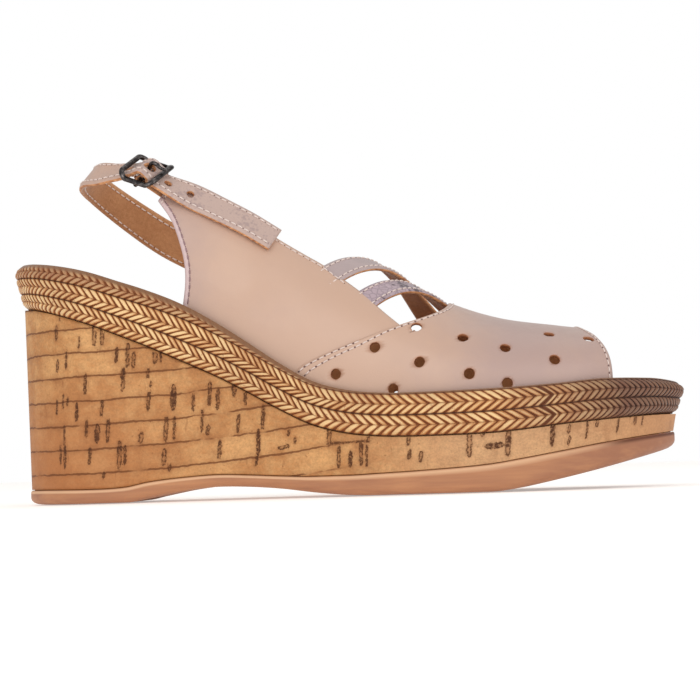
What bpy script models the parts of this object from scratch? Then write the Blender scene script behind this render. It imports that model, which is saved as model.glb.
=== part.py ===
"""Platform wedge sandal, right shoe: open toe, slingback strap with a buckle.

The toe points along +X, the outer (lateral) side faces -Y and the sole stands on z = 0.
All sizes below are millimetres; the meshes are written in metres.
"""

import math
from collections import namedtuple

import bmesh
import bpy
import numpy as np
from mathutils import Vector

MM = 0.001

# Overall sizes
SHOE_LENGTH = 248.0
HEEL_ROUND = 29.0
TOE_ROUND = 46.0
STATIONS = 36
SEAT_GAP = 0.3

# Sole layers, each inset from the outer edge of the rand
OUTSOLE_INSET = 4.2
TREAD_INSET = 9.4
SOLE_EDGE_ROUND = 2.0
WEDGE_FOOT_INSET = 4.6
WEDGE_HEAD_INSET = 3.4
RAND_WIDTH = 5.0
RAND_END_FLARE = 2.4
RAND_FLARE_LENGTH = 26.0
RAND_WIDEST_SHARE = 0.72
FOOTBED_DROP = 2.0
INSOLE_THICKNESS = 4.5

# Upper
LAST_INSET = 7.7
LEATHER = 1.6
QUARTER_LIFT = 0.8
VAMP_LIFT = 1.5
INSTEP_STRAP_LIFT = 0.1
INSTEP_STRAP_THICKNESS = 1.8
LASTING_DEPTH = 3.9
LASTING_TURN = 1.6
QUARTER_LASTING_DEPTH = 3.5
VAMP_SEAM_X = -18.4
VAMP_SEAM_POWER = 1.4
VAMP_THROAT_X = 37.0
VAMP_TOE_X = 94.0
TOE_OPENING_SETBACK = 8.0
TOE_OPENING_POWER = 3
QUARTER_FRONT_FOOT_X = -5.0
PUNCH_RADIUS = 2.1
PUNCH_LENGTH = 12.0

# Stretch where the insole is narrowed for the upper, and how gently it narrows at each end
TUCK_HEEL_X = -76.2
TUCK_TOE_X = 108.0
TUCK_HEEL_RAMP = 6.0
TUCK_TOE_RAMP = 4.0

# Slingback strap and buckle
STRAP_WIDTH = 11.0
STRAP_ROOT_WIDTH = 17.0
STRAP_TAPER_SHARE = 0.42
STRAP_THICKNESS = 2.0
STRAP_HOLE_RADIUS = 1.4
STRAP_HOLE_PITCH = 9.0
STRAP_HOLES = 4
STRAP_PUNCH_LENGTH = 5.0
STRAP_LOOP_MIDDLE_X = -66.0
PRONG_HOLE = 1
PRONG_HOLE_RADIUS = 1.9
PRONG_FORWARD = 1.3
TAB_WIDTH = 8.0
TAB_THICKNESS = 1.0
TAB_TURN_START = -95.0
TAB_TURN_END = -300.0
TAB_SLOT_RADIUS = 1.7
TAB_SLOT_LENGTH = 3.4
BUCKLE_WIRE = 1.0
BUCKLE_HALF_LENGTH = 6.8
BUCKLE_HALF_WIDTH = 7.8
BUCKLE_CORNER = 2.6
BUCKLE_BOW = 3.1
BAR_RADIUS = 1.0
BAR_LIFT = 3.2
BUCKLE_X = -71.0
BUCKLE_Z = 116.6
BUCKLE_TURN_UP = 0.65
BUCKLE_WAY = (0.9, -0.35, -0.25)
PRONG_RADIUS = 0.75

# Plan of the rand: middle line and half width, before the ends are rounded off
Plan = namedtuple("Plan", "x middle half_width")
PLAN = [
    Plan(-124, 0.0, 28.5),
    Plan(-107, 0.0, 31.2),
    Plan(-87, 0.0, 32.8),
    Plan(-57, -0.8, 32.3),
    Plan(-22, -2.5, 32.0),
    Plan(8, -3.0, 37.0),
    Plan(33, -1.8, 43.8),
    Plan(53, 0.0, 45.5),
    Plan(78, 2.0, 43.0),
    Plan(98, 3.5, 39.0),
    Plan(113, 4.6, 36.0),
    Plan(124, 5.0, 32.0),
]

# Side view: heights of the layers
Side = namedtuple("Side", "x rand_top rand_bottom outsole_top outsole_bottom")
SIDE = [
    Side(-124, 89.0, 73.2, 5.2, 0.0),
    Side(-113, 87.8, 71.0, 5.2, 0.0),
    Side(-93, 83.6, 64.8, 5.0, 0.0),
    Side(-80, 79.2, 59.6, 5.5, 0.0),
    Side(-72, 76.4, 56.2, 7.0, 1.4),
    Side(-59, 70.9, 50.2, 8.3, 3.6),
    Side(-46, 63.4, 44.0, 8.9, 4.6),
    Side(-35, 56.0, 38.0, 8.4, 4.2),
    Side(-24, 48.3, 31.6, 7.7, 3.2),
    Side(-12, 41.2, 25.6, 7.2, 1.5),
    Side(0, 37.5, 22.3, 7.2, 0.3),
    Side(10, 36.1, 21.0, 7.5, 0.0),
    Side(26, 35.6, 20.4, 8.1, 0.0),
    Side(50, 36.0, 20.7, 9.6, 0.0),
    Side(60, 36.4, 21.4, 11.0, 1.0),
    Side(74, 37.2, 22.9, 13.2, 3.6),
    Side(90, 38.6, 24.3, 15.8, 7.0),
    Side(108, 38.8, 25.6, 18.2, 11.2),
    Side(124, 37.4, 26.4, 20.0, 15.0),
]

# Lower edge of the outsole: inset and lift as shares of its rounding
SoleEdge = namedtuple("SoleEdge", "inset lift")
SOLE_EDGE = [SoleEdge(2.0, 0.0), SoleEdge(0.4, 0.4), SoleEdge(0.0, 1.2)]

# Rand section, once round: inset from the outer edge and share of the rand's height
RandPoint = namedtuple("RandPoint", "inset share")
RAND_SECTION = [
    RandPoint(RAND_WIDTH, 0.0),
    RandPoint(2.2, 0.0),
    RandPoint(0.5, 0.08),
    RandPoint(0.0, 0.25),
    RandPoint(0.4, 0.41),
    RandPoint(1.4, 0.47),
    RandPoint(0.4, 0.54),
    RandPoint(0.0, RAND_WIDEST_SHARE),
    RandPoint(0.6, 0.88),
    RandPoint(1.9, 0.96),
    RandPoint(2.7, 1.0),
    RandPoint(4.2, 1.0),
    RandPoint(RAND_WIDTH, 0.95),
]

# Insole section from its underside up and in: inset from its edge and depth below the foot-bed
InsolePoint = namedtuple("InsolePoint", "inset depth")
INSOLE_SECTION = [
    InsolePoint(0.0, INSOLE_THICKNESS),
    InsolePoint(0.0, 1.2),
    InsolePoint(1.0, 0.0),
    InsolePoint(6.0, 0.8),
    InsolePoint(14.0, 1.6),
]

# Last: height of the ridge, its shift to the inner side, squareness and bulge of the section
Last = namedtuple("Last", "x ridge shift squareness bulge")
LAST = [
    Last(-86, 137.0, 0.0, 2.4, 0.16),
    Last(-62, 127.0, 1.0, 2.4, 0.16),
    Last(-42, 115.5, 2.0, 2.4, 0.15),
    Last(-22, 102.5, 3.5, 2.3, 0.12),
    Last(-8, 92.5, 4.0, 2.2, 0.11),
    Last(3, 86.0, 4.5, 2.2, 0.10),
    Last(18, 78.0, 5.0, 2.2, 0.07),
    Last(36, 68.5, 5.5, 2.3, 0.05),
    Last(55, 61.8, 6.0, 2.4, 0.04),
    Last(77, 58.2, 6.0, 2.4, 0.04),
    Last(98, 55.5, 5.0, 2.4, 0.04),
]

# Quarter edges in side view
Edge = namedtuple("Edge", "x z")
LATERAL_TOP = [
    Edge(-66.3, 108.5),
    Edge(-60.5, 116.8),
    Edge(-54.2, 111.5),
    Edge(-46.4, 106.8),
    Edge(-33.6, 99.8),
    Edge(-23.8, 93.2),
    Edge(-14.0, 87.0),
    Edge(-7.1, 82.7),
    Edge(0.2, 77.0),
    Edge(7.5, 71.0),
    Edge(14.3, 64.5),
    Edge(24.0, 56.0),
]
LATERAL_REAR = [
    Edge(-58.2, 68.3),
    Edge(-56.8, 78.5),
    Edge(-57.1, 86.5),
    Edge(-59.2, 95.0),
    Edge(-62.0, 102.0),
    Edge(-66.3, 108.5),
]
MEDIAL_TOP = [
    Edge(-58.0, 103.5),
    Edge(-46.5, 99.0),
    Edge(-33.6, 94.5),
    Edge(-23.8, 90.6),
    Edge(-14.0, 86.0),
    Edge(-7.1, 82.0),
    Edge(0.2, 76.5),
    Edge(7.5, 70.5),
    Edge(14.3, 64.0),
    Edge(24.0, 55.5),
]
MEDIAL_REAR = [
    Edge(-50.0, 63.8),
    Edge(-51.0, 73.0),
    Edge(-53.5, 82.0),
    Edge(-57.0, 92.0),
    Edge(-58.0, 103.5),
]

# Punched holes of the vamp: place along the foot and height, as a share of the ridge height
Hole = namedtuple("Hole", "x rise")
HOLES = [
    Hole(-2.9, 0.11),
    Hole(11.2, 0.34),
    Hole(17.5, 0.06),
    Hole(25.8, 0.57),
    Hole(26.9, 0.27),
    Hole(41.9, 0.55),
    Hole(43.8, 0.18),
    Hole(56.7, 0.49),
    Hole(56.8, 0.08),
    Hole(72.9, 0.74),
    Hole(73.8, 0.34),
    Hole(87.0, 0.70),
]
RIDGE_HOLES_X = [43.0, 58.0, 73.0]

# Instep straps: where each leaves the lateral quarter and where it goes under the vamp
InstepStrap = namedtuple("InstepStrap", "name x_start angle_start x_end angle_end width arch")
INSTEP_STRAPS = [
    InstepStrap("plain_strap", -12.0, 36.0, 38.0, 140.0, 9.5, 3.2),
    InstepStrap("printed_strap", 2.0, 33.0, 46.0, 118.0, 9.0, 1.8),
]

# Slingback strap: rows on the last (x, z, lift) at both ends, free loop rows (x, y, z, lean) between
OnLast = namedtuple("OnLast", "x z lift")
Loop = namedtuple("Loop", "x y z lean")
STRAP_MEDIAL_END = [
    OnLast(-36.0, 82.5, 2.9),
    OnLast(-46.0, 88.0, 2.9),
    OnLast(-56.0, 93.5, 2.9),
]
STRAP_LOOP = [
    Loop(-70.0, 28.3, 100.8, 22.0),
    Loop(-82.5, 23.0, 109.4, 30.0),
    Loop(-92.0, 12.5, 116.8, 36.0),
    Loop(-95.2, 0.0, 120.3, 40.0),
    Loop(-92.6, -11.0, 121.2, 40.0),
    Loop(-86.0, -18.5, 120.3, 42.0),
]
STRAP_TAIL = [
    OnLast(-54.0, 108.4, 2.9),
    OnLast(-45.0, 103.6, 2.9),
    OnLast(-35.0, 98.0, 2.9),
    OnLast(-25.5, 91.8, 2.9),
]

# Buckle tab inside the lateral quarter, from its end up to the bar
TAB_ROWS = [
    OnLast(-50.0, 106.6, -1.6),
    OnLast(-56.0, 110.2, -1.6),
    OnLast(-61.5, 113.1, -2.1),
]

# Strap and prong in the buckle's own directions: along the strap and outward from the bar
InBuckle = namedtuple("InBuckle", "forward out")
STRAP_IN_BUCKLE = [
    InBuckle(-7.2, -0.3),
    InBuckle(-3.8, 1.7),
    InBuckle(0.0, 4.2),
    InBuckle(3.8, 2.2),
    InBuckle(7.0, -0.3),
]
PRONG = [
    InBuckle(0.3, 1.4),
    InBuckle(1.0, 3.0),
    InBuckle(1.6, 5.0),
    InBuckle(2.6, 6.3),
    InBuckle(4.4, 6.2),
    InBuckle(5.8, 5.35),
    InBuckle(8.4, 5.15),
]

# Looks: colour, roughness and metallic value of each finish
Finish = namedtuple("Finish", "colour roughness metallic")
FINISHES = {
    "nude_leather": Finish((0.64, 0.44, 0.34), 0.45, 0.0),
    "tan_lining": Finish((0.42, 0.22, 0.10), 0.85, 0.0),
    "cork": Finish((0.56, 0.33, 0.15), 0.75, 0.0),
    "braid": Finish((0.62, 0.38, 0.17), 0.65, 0.0),
    "brown_rubber": Finish((0.46, 0.20, 0.10), 0.55, 0.0),
    "gunmetal": Finish((0.10, 0.10, 0.11), 0.25, 1.0),
}


def column(table, name):
    """One named column of a table as an array."""
    return np.array([getattr(row, name) for row in table], float)


def along(x, table, name):
    """A table column at any x: cubic pieces that keep the rows' mean slopes and never overshoot."""
    xs = column(table, "x")
    ys = column(table, name)
    step = np.diff(ys) / np.diff(xs)
    slope = np.concatenate((step[:1], (step[1:] + step[:-1]) / 2, step[-1:]))
    slope[1:-1][step[1:] * step[:-1] <= 0] = 0.0
    x = np.clip(x, xs[0], xs[-1])
    i = np.clip(np.searchsorted(xs, x, side="right") - 1, 0, len(xs) - 2)
    span = xs[i + 1] - xs[i]
    t = (x - xs[i]) / span
    rise = (1 + 2 * t) * (1 - t) ** 2 * ys[i] + t * t * (3 - 2 * t) * ys[i + 1]
    return rise + span * t * (1 - t) * ((1 - t) * slope[i] - t * slope[i + 1])


def outline(inset):
    """Plan of the rand pushed inwards by inset: heel, lateral side, toe, medial side."""
    half = SHOE_LENGTH / 2
    x = -half * np.cos(np.linspace(0, math.pi, STATIONS + 1))
    heel_way = np.clip(1 - (x + half) / HEEL_ROUND, 0, 1)
    toe_way = np.clip(1 - (half - x) / TOE_ROUND, 0, 1)
    rounding = np.sqrt(1 - heel_way ** 2) * np.sqrt(1 - toe_way ** 2)
    middle = along(x, PLAN, "middle")
    width = along(x, PLAN, "half_width") * rounding
    lateral = np.stack((x, middle - width), axis=1)
    medial = np.stack((x, middle + width), axis=1)
    ring = np.concatenate((lateral, medial[-2:0:-1]))
    way = np.roll(ring, -1, axis=0) - np.roll(ring, 1, axis=0)
    outward = np.stack((way[:, 1], -way[:, 0]), axis=1)
    outward /= np.linalg.norm(outward, axis=1, keepdims=True)
    return ring - inset * outward


def layer(inset, height, lift=0.0):
    """A ring of points: the outline with this inset, at height(x) and the lift above it."""
    ring = outline(inset)
    return np.column_stack((ring, height(ring[:, 0]) + lift))


def edges_of_last():
    """Lateral and medial side of the last at the foot-bed, as (x, y) columns in rising x."""
    ring = outline(LAST_INSET)
    lateral = ring[:STATIONS + 1]
    medial = np.concatenate((ring[:1], ring[:STATIONS - 1:-1]))
    return lateral, medial


def outsole_bottom(x):
    return along(x, SIDE, "outsole_bottom")


def outsole_top(x):
    return along(x, SIDE, "outsole_top")


def rand_bottom(x):
    return along(x, SIDE, "rand_bottom")


def rand_top(x):
    return along(x, SIDE, "rand_top")


def footbed(x):
    return rand_top(x) - FOOTBED_DROP


def last(x, angle):
    """Point of the last: x along the foot, angle 0 at the lateral foot-bed edge, 180 at the medial."""
    x, angle = np.broadcast_arrays(np.asarray(x, float), np.radians(angle))
    lateral, medial = edges_of_last()
    low = np.interp(x, lateral[:, 0], lateral[:, 1])
    high = np.interp(x, medial[:, 0], medial[:, 1])
    power = 2 / along(x, LAST, "squareness")
    swell = 1 + along(x, LAST, "bulge") * np.abs(np.sin(2 * angle))
    across = np.sign(np.cos(angle)) * np.abs(np.cos(angle)) ** power * swell
    up = np.clip(np.sin(angle), 0, 1) ** power
    y = (low + high) / 2 - (high - low) / 2 * across + along(x, LAST, "shift") * up * up
    z = footbed(x) + (along(x, LAST, "ridge") - footbed(x)) * up
    return np.stack((x, y, z), axis=-1)


def angle_at(x, z, side):
    """Angle on the last where the surface has height z, on side -1 (lateral) or +1 (medial)."""
    share = np.clip((z - footbed(x)) / (along(x, LAST, "ridge") - footbed(x)), 0, 1)
    angle = np.degrees(np.arcsin(share ** (along(x, LAST, "squareness") / 2)))
    return np.where(side < 0, angle, 180 - angle)


def unit(vectors):
    return vectors / np.linalg.norm(vectors, axis=-1, keepdims=True)


def last_normal(x, angle):
    """Outward direction of the last."""
    step = 0.5
    way = last(x + step, angle) - last(x - step, angle)
    turn = last(x, angle + step) - last(x, angle - step)
    return unit(np.cross(way, turn))


def finish(name):
    """The material of one finish."""
    material = bpy.data.materials.get(name) or bpy.data.materials.new(name)
    material.use_nodes = True
    look = FINISHES[name]
    shader = material.node_tree.nodes["Principled BSDF"]
    shader.inputs["Base Color"].default_value = (*look.colour, 1.0)
    shader.inputs["Roughness"].default_value = look.roughness
    shader.inputs["Metallic"].default_value = look.metallic
    return material


def new_object(name, points, faces, look):
    """An object whose mesh has these points (millimetres) and faces."""
    mesh = bpy.data.meshes.new(name)
    mesh.from_pydata((np.asarray(points) * MM).tolist(), [], faces)
    mesh.materials.append(finish(look))
    return bpy.data.objects.new(name, mesh)


def keep(obj):
    """Add a part to the shoe."""
    bpy.data.collections["platform_sandal"].objects.link(obj)
    obj.data.shade_smooth()
    obj.data.set_sharp_from_angle(angle=math.radians(40))
    return obj


def cutter(obj):
    """Add a helper shape that other shapes are joined with or cut by."""
    bpy.data.collections["cutters"].objects.link(obj)
    obj.hide_render = True
    obj.display_type = "WIRE"
    return obj


def band(lower, upper, size):
    """Quads between two rings of size points that start at these vertex numbers."""
    return [(lower + i, lower + (i + 1) % size, upper + (i + 1) % size, upper + i) for i in range(size)]


def cap(start, size, facing_up):
    """Strip of faces across a ring, from each lateral point to the medial one at its station."""
    faces = []
    for i in range(size // 2):
        loop = [start + i, start + (size - i) % size, start + (size - i - 1) % size, start + i + 1]
        loop = list(dict.fromkeys(loop))
        faces.append(loop[::-1] if facing_up else loop)
    return faces


def stack(name, rings, look):
    """Solid lofted through rings from the bottom up, closed by a cap at each end."""
    size = len(rings[0])
    faces = cap(0, size, facing_up=False)
    for k in range(len(rings) - 1):
        faces += band(k * size, (k + 1) * size, size)
    faces += cap((len(rings) - 1) * size, size, facing_up=True)
    return new_object(name, np.concatenate(rings), faces, look)


def hoop(name, rings, look):
    """Ring-shaped solid: the rings follow each other round a closed profile."""
    size = len(rings[0])
    count = len(rings)
    faces = []
    for k in range(count):
        faces += band(k * size, (k + 1) % count * size, size)
    return new_object(name, np.concatenate(rings), faces, look)


def leather(name, grid, thickness, look):
    """Sheet over a grid of points (its middle surface) made solid."""
    rows, columns = grid.shape[:2]
    number = np.arange(rows * columns).reshape(rows, columns)
    corners = (number[:-1, :-1], number[1:, :-1], number[1:, 1:], number[:-1, 1:])
    faces = np.stack(corners, axis=-1).reshape(-1, 4).tolist()
    obj = new_object(name, grid.reshape(-1, 3), faces, look)
    solid = obj.modifiers.new("thickness", "SOLIDIFY")
    solid.thickness = thickness * MM
    solid.offset = 0.0
    solid.use_even_offset = True
    return obj


def union(obj, other):
    join = obj.modifiers.new("join_" + other.name, "BOOLEAN")
    join.operation = "UNION"
    join.object = cutter(other)


def cut(obj, other):
    hole = obj.modifiers.new("cut_" + other.name, "BOOLEAN")
    hole.operation = "DIFFERENCE"
    hole.object = cutter(other)


def rod(name, middle, direction, radius, length):
    """Round rod centred on a point (millimetres)."""
    mesh = bpy.data.meshes.new(name)
    body = bmesh.new()
    bmesh.ops.create_cone(body, cap_ends=True, segments=12, radius1=radius * MM, radius2=radius * MM,
                          depth=length * MM)
    body.to_mesh(mesh)
    body.free()
    obj = bpy.data.objects.new(name, mesh)
    turn = Vector(direction).to_track_quat("Z", "Y").to_matrix().to_4x4()
    turn.translation = Vector(middle) * MM
    mesh.transform(turn)
    return obj


def wire(name, points, radius, closed, look):
    """Round wire through points, as a closed mesh."""
    curve = bpy.data.curves.new(name, "CURVE")
    curve.dimensions = "3D"
    curve.bevel_depth = radius * MM
    curve.bevel_resolution = 2
    curve.use_fill_caps = True
    spline = curve.splines.new("POLY")
    spline.points.add(len(points) - 1)
    for knot, place in zip(spline.points, np.asarray(points) * MM):
        knot.co = (*place, 1.0)
    spline.use_cyclic_u = closed
    draft = bpy.data.objects.new(name + "_path", curve)
    bpy.context.scene.collection.objects.link(draft)
    depsgraph = bpy.context.evaluated_depsgraph_get()
    mesh = bpy.data.meshes.new_from_object(draft.evaluated_get(depsgraph))
    bpy.data.objects.remove(draft)
    body = bmesh.new()
    body.from_mesh(mesh)
    bmesh.ops.remove_doubles(body, verts=body.verts, dist=0.00001)
    bmesh.ops.recalc_face_normals(body, faces=body.faces)
    body.to_mesh(mesh)
    body.free()
    mesh.materials.clear()
    mesh.materials.append(finish(look))
    return bpy.data.objects.new(name, mesh)


def smooth_rows(rows, count):
    """Catmull-Rom curve through rows of numbers, sampled evenly along its length."""
    rows = np.asarray(rows, float)
    padded = np.concatenate((2 * rows[:1] - rows[1:2], rows, 2 * rows[-1:] - rows[-2:-1]))
    t = np.linspace(0, len(rows) - 1, 20 * len(rows))
    i = np.clip(t.astype(int), 0, len(rows) - 2)
    f = (t - i)[:, None]
    a, b, c, d = padded[i], padded[i + 1], padded[i + 2], padded[i + 3]
    dense = b + 0.5 * f * (c - a + f * (2 * a - 5 * b + 4 * c - d + f * (3 * (b - c) + d - a)))
    length = np.concatenate(([0], np.cumsum(np.linalg.norm(np.diff(dense[:, :3], axis=0), axis=1))))
    even = np.linspace(0, length[-1], count)
    return np.stack([np.interp(even, length, dense[:, k]) for k in range(rows.shape[1])], axis=1)


def ribbon(points, normals, width, columns=3):
    """Grid of a flat strap: its middle line, with the width at right angles to line and normal."""
    way = unit(np.gradient(points, axis=0))
    across = unit(np.cross(normals, way)) * np.broadcast_to(width, len(points))[:, None]
    share = np.linspace(-0.5, 0.5, columns)
    return points[:, None, :] + across[:, None, :] * share[None, :, None]


def make_outsole():
    """Rubber unit: flat heel seat and forefoot, lifted waist, toe spring, rounded lower edge."""
    rings = [layer(TREAD_INSET, outsole_bottom)]
    for point in SOLE_EDGE:
        inset = OUTSOLE_INSET + point.inset * SOLE_EDGE_ROUND
        rings.append(layer(inset, outsole_bottom, point.lift * SOLE_EDGE_ROUND))
    rings.append(layer(OUTSOLE_INSET, outsole_top))
    keep(stack("outsole", rings, "brown_rubber"))


def make_cork_wedge():
    """Wedge and platform block: its side runs up under the rand, its core carries the insole."""
    core_inset = RAND_WIDTH + SEAT_GAP
    rings = [
        layer(WEDGE_FOOT_INSET, outsole_top, SEAT_GAP),
        layer(WEDGE_HEAD_INSET, rand_bottom, -SEAT_GAP),
        layer(core_inset, rand_bottom, -SEAT_GAP),
        layer(core_inset, footbed, -INSOLE_THICKNESS - SEAT_GAP),
    ]
    keep(stack("cork_wedge", rings, "cork"))


def make_braid_rand():
    """Strip round the top of the wedge: two raised rows on its side, leaning in at heel and toe."""
    x = outline(0.0)[:, :1]
    to_end = SHOE_LENGTH / 2 - np.abs(x)
    lean = RAND_END_FLARE * np.clip(1 - to_end / RAND_FLARE_LENGTH, 0, 1)
    rings = []
    for point in RAND_SECTION:
        below = max(1 - point.share / RAND_WIDEST_SHARE, 0)
        inset = np.minimum(point.inset + lean * below, RAND_WIDTH)
        ring = outline(inset)
        low = rand_bottom(ring[:, 0])
        height = low + point.share * (rand_top(ring[:, 0]) - low)
        rings.append(np.column_stack((ring, height)))
    keep(hoop("braid_rand", rings, "braid"))


def make_insole():
    """Padded foot-bed: it fills the rand at heel and toe and leaves room for the upper between."""
    rings = []
    for point in INSOLE_SECTION:
        free = layer(RAND_WIDTH + SEAT_GAP + point.inset, footbed, -point.depth)
        tucked = layer(LAST_INSET + SEAT_GAP + point.inset, footbed, -point.depth)
        x = free[:, :1]
        from_heel = np.clip((x - TUCK_HEEL_X) / TUCK_HEEL_RAMP, 0, 1)
        from_toe = np.clip((TUCK_TOE_X - x) / TUCK_TOE_RAMP, 0, 1)
        rings.append(free + (tucked - free) * from_heel * from_toe)
    keep(stack("insole", rings, "tan_lining"))


def vamp_edges(angle):
    """x of the vamp's rear edge and of its open toe at each angle round the last."""
    up = np.sin(np.radians(angle))
    sweep = np.sin(up * math.pi / 2) ** VAMP_SEAM_POWER
    rear = VAMP_SEAM_X + (VAMP_THROAT_X - VAMP_SEAM_X) * sweep
    toe = VAMP_TOE_X - TOE_OPENING_SETBACK * up ** TOE_OPENING_POWER
    return rear, toe


def lasted(x, angle, drop, lift):
    """Points on the last with a lift, or straight below its edge by drop where drop is above zero."""
    normals = last_normal(x, np.clip(angle, 1, 179))
    grid = last(x, angle) + lift * normals
    wall = last(x, angle) + lift * unit(normals * np.array([1.0, 1.0, 0.0]))
    wall[..., 2] -= drop
    return np.where(drop[..., None] > 0, wall, grid)


def vamp_grid():
    """Vamp from the lateral lasting edge over the ridge to the medial one."""
    turn = np.linspace(0, 180, 25)
    angle = np.concatenate(([0, 0], turn, [180, 180]))
    wall = [LASTING_DEPTH, LASTING_TURN]
    drop = np.concatenate((wall, np.zeros(turn.size), wall[::-1]))
    rear, toe = vamp_edges(angle)
    share = np.linspace(0, 1, 15)[:, None]
    x = rear + (toe - rear) * share
    return lasted(x, np.broadcast_to(angle, x.shape), np.broadcast_to(drop, x.shape), VAMP_LIFT)


def edge_curve(rows, count):
    """Points of a quarter's edge, evenly spread along a smooth curve through its table."""
    return smooth_rows([(row.x, row.z, 0.0) for row in rows], count)[:, :2]


def quarter_grid(top_rows, rear_rows, side):
    """Quarter filled in side view between its four edges, then laid on the last."""
    u = np.linspace(0, 1, 20)[:, None]
    v = np.linspace(0, 1, 10)[None, :]
    top = edge_curve(top_rows, u.size)
    rear = edge_curve(rear_rows, v.size)
    foot_x = rear[0, 0] + (QUARTER_FRONT_FOOT_X - rear[0, 0]) * u[:, 0]
    foot = np.column_stack((foot_x, footbed(foot_x)))
    rear[0] = foot[0]
    front = foot[-1] + (top[-1] - foot[-1]) * v.T
    plane = (1 - v)[..., None] * foot[:, None] + v[..., None] * top[:, None]
    plane = plane + (1 - u)[..., None] * rear[None] + u[..., None] * front[None]
    corners = (1 - u) * (1 - v), u * (1 - v), (1 - u) * v, u * v
    for weight, corner in zip(corners, (foot[0], foot[-1], top[0], top[-1])):
        plane = plane - weight[..., None] * corner
    x = np.concatenate((plane[:, :1, 0], plane[..., 0]), axis=1)
    z = np.concatenate((plane[:, :1, 1], plane[..., 1]), axis=1)
    drop = np.zeros_like(x)
    drop[:, 0] = QUARTER_LASTING_DEPTH
    grid = lasted(x, angle_at(x, z, side), drop, QUARTER_LIFT)
    return grid if side < 0 else grid[:, ::-1]


def instep_grid(strap):
    """Instep strap: a diagonal band on the last."""
    share = np.linspace(0, 1, 17)
    x = strap.x_start + (strap.x_end - strap.x_start) * share
    angle = strap.angle_start + (strap.angle_end - strap.angle_start) * share
    normals = last_normal(x, angle)
    lift = INSTEP_STRAP_LIFT + strap.arch * np.sin(math.pi * share) ** 2
    points = last(x, angle) + lift[:, None] * normals
    return ribbon(points, normals, strap.width)[:, ::-1]


def make_upper():
    """Vamp, quarters and instep straps joined into one hollow solid, with the holes punched."""
    upper = leather("upper", vamp_grid(), LEATHER, "nude_leather")
    lateral = quarter_grid(LATERAL_TOP, LATERAL_REAR, -1)
    medial = quarter_grid(MEDIAL_TOP, MEDIAL_REAR, 1)
    union(upper, leather("lateral_quarter", lateral, LEATHER, "nude_leather"))
    union(upper, leather("medial_quarter", medial, LEATHER, "nude_leather"))
    for strap in INSTEP_STRAPS:
        union(upper, leather(strap.name, instep_grid(strap), INSTEP_STRAP_THICKNESS, "nude_leather"))
    places = [(hole.x, math.degrees(math.asin(hole.rise))) for hole in HOLES]
    places += [(hole.x, 180 - math.degrees(math.asin(hole.rise))) for hole in HOLES]
    places += [(x, 90.0) for x in RIDGE_HOLES_X]
    for number, (x, angle) in enumerate(places):
        middle = last(x, angle)
        cut(upper, rod(f"punch_{number}", middle, last_normal(x, angle), PUNCH_RADIUS, PUNCH_LENGTH))
    keep(upper)


def strap_rows(rows, side):
    """Points and outward directions of rows that lie on the last."""
    x = column(rows, "x")
    angle = angle_at(x, column(rows, "z"), side)
    normals = last_normal(x, angle)
    return last(x, angle) + column(rows, "lift")[:, None] * normals, normals


def strap_loop():
    """Points and outward directions of the free loop behind the heel."""
    points = np.array([(row.x, row.y, row.z) for row in STRAP_LOOP])
    lean = np.radians(column(STRAP_LOOP, "lean"))
    flat = unit((points - np.array([STRAP_LOOP_MIDDLE_X, 0.0, 0.0])) * np.array([1.0, 1.0, 0.0]))
    normals = flat * np.cos(lean)[:, None] + np.array([0.0, 0.0, 1.0]) * np.sin(lean)[:, None]
    return points, normals


def buckle_axes():
    """Centre of the buckle's bar and its directions along the strap, across it and outward.

    The outward direction is the last's there, turned up because the empty strap lies back.
    """
    point, normal = strap_rows([OnLast(BUCKLE_X, BUCKLE_Z, BAR_LIFT)], -1)
    outward = unit(normal[0] + BUCKLE_TURN_UP * np.array([0.0, 0.0, 1.0]))
    way = np.array(BUCKLE_WAY)
    forward = unit(way - outward * np.dot(way, outward))
    return point[0], forward, np.cross(outward, forward), outward


def buckle_point(forward, across, out):
    """A place given in the buckle's own directions."""
    centre, along_strap, over_strap, outward = buckle_axes()
    return centre + forward * along_strap + across * over_strap + out * outward


def strap_in_buckle():
    """Points and outward directions of the strap over the bar and under both ends of the frame."""
    points = np.array([buckle_point(row.forward, 0, row.out) for row in STRAP_IN_BUCKLE])
    outward = buckle_axes()[3]
    return points, np.broadcast_to(outward, points.shape)


def strap_path():
    """Middle line and outward direction of the whole slingback strap."""
    pieces = (
        strap_rows(STRAP_MEDIAL_END, 1),
        strap_loop(),
        strap_in_buckle(),
        strap_rows(STRAP_TAIL, -1),
    )
    rows = np.concatenate([np.column_stack(piece) for piece in pieces])
    path = smooth_rows(rows, 64)
    return path[:, :3], unit(path[:, 3:])


def make_heel_strap():
    """Slingback strap with its row of punched holes."""
    points, normals = strap_path()
    travel = np.concatenate(([0], np.cumsum(np.linalg.norm(np.diff(points, axis=0), axis=1))))
    root = np.clip(1 - travel / (STRAP_TAPER_SHARE * travel[-1]), 0, 1)
    width = STRAP_WIDTH + (STRAP_ROOT_WIDTH - STRAP_WIDTH) * root
    strap = leather("heel_strap", ribbon(points, normals, width)[:, ::-1], STRAP_THICKNESS, "nude_leather")
    centre, forward, _, _ = buckle_axes()
    passed = (points - centre) @ forward
    tail = np.arange(len(points)) > np.argmin(points[:, 0])
    prong_travel = np.interp(PRONG_FORWARD, passed[tail], travel[tail])
    for number in range(STRAP_HOLES):
        at = prong_travel + (number - PRONG_HOLE) * STRAP_HOLE_PITCH
        middle = [np.interp(at, travel, points[:, k]) for k in range(3)]
        way = [np.interp(at, travel, normals[:, k]) for k in range(3)]
        size = PRONG_HOLE_RADIUS if number == PRONG_HOLE else STRAP_HOLE_RADIUS
        cut(strap, rod(f"strap_hole_{number}", middle, way, size, STRAP_PUNCH_LENGTH))
    keep(strap)


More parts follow.
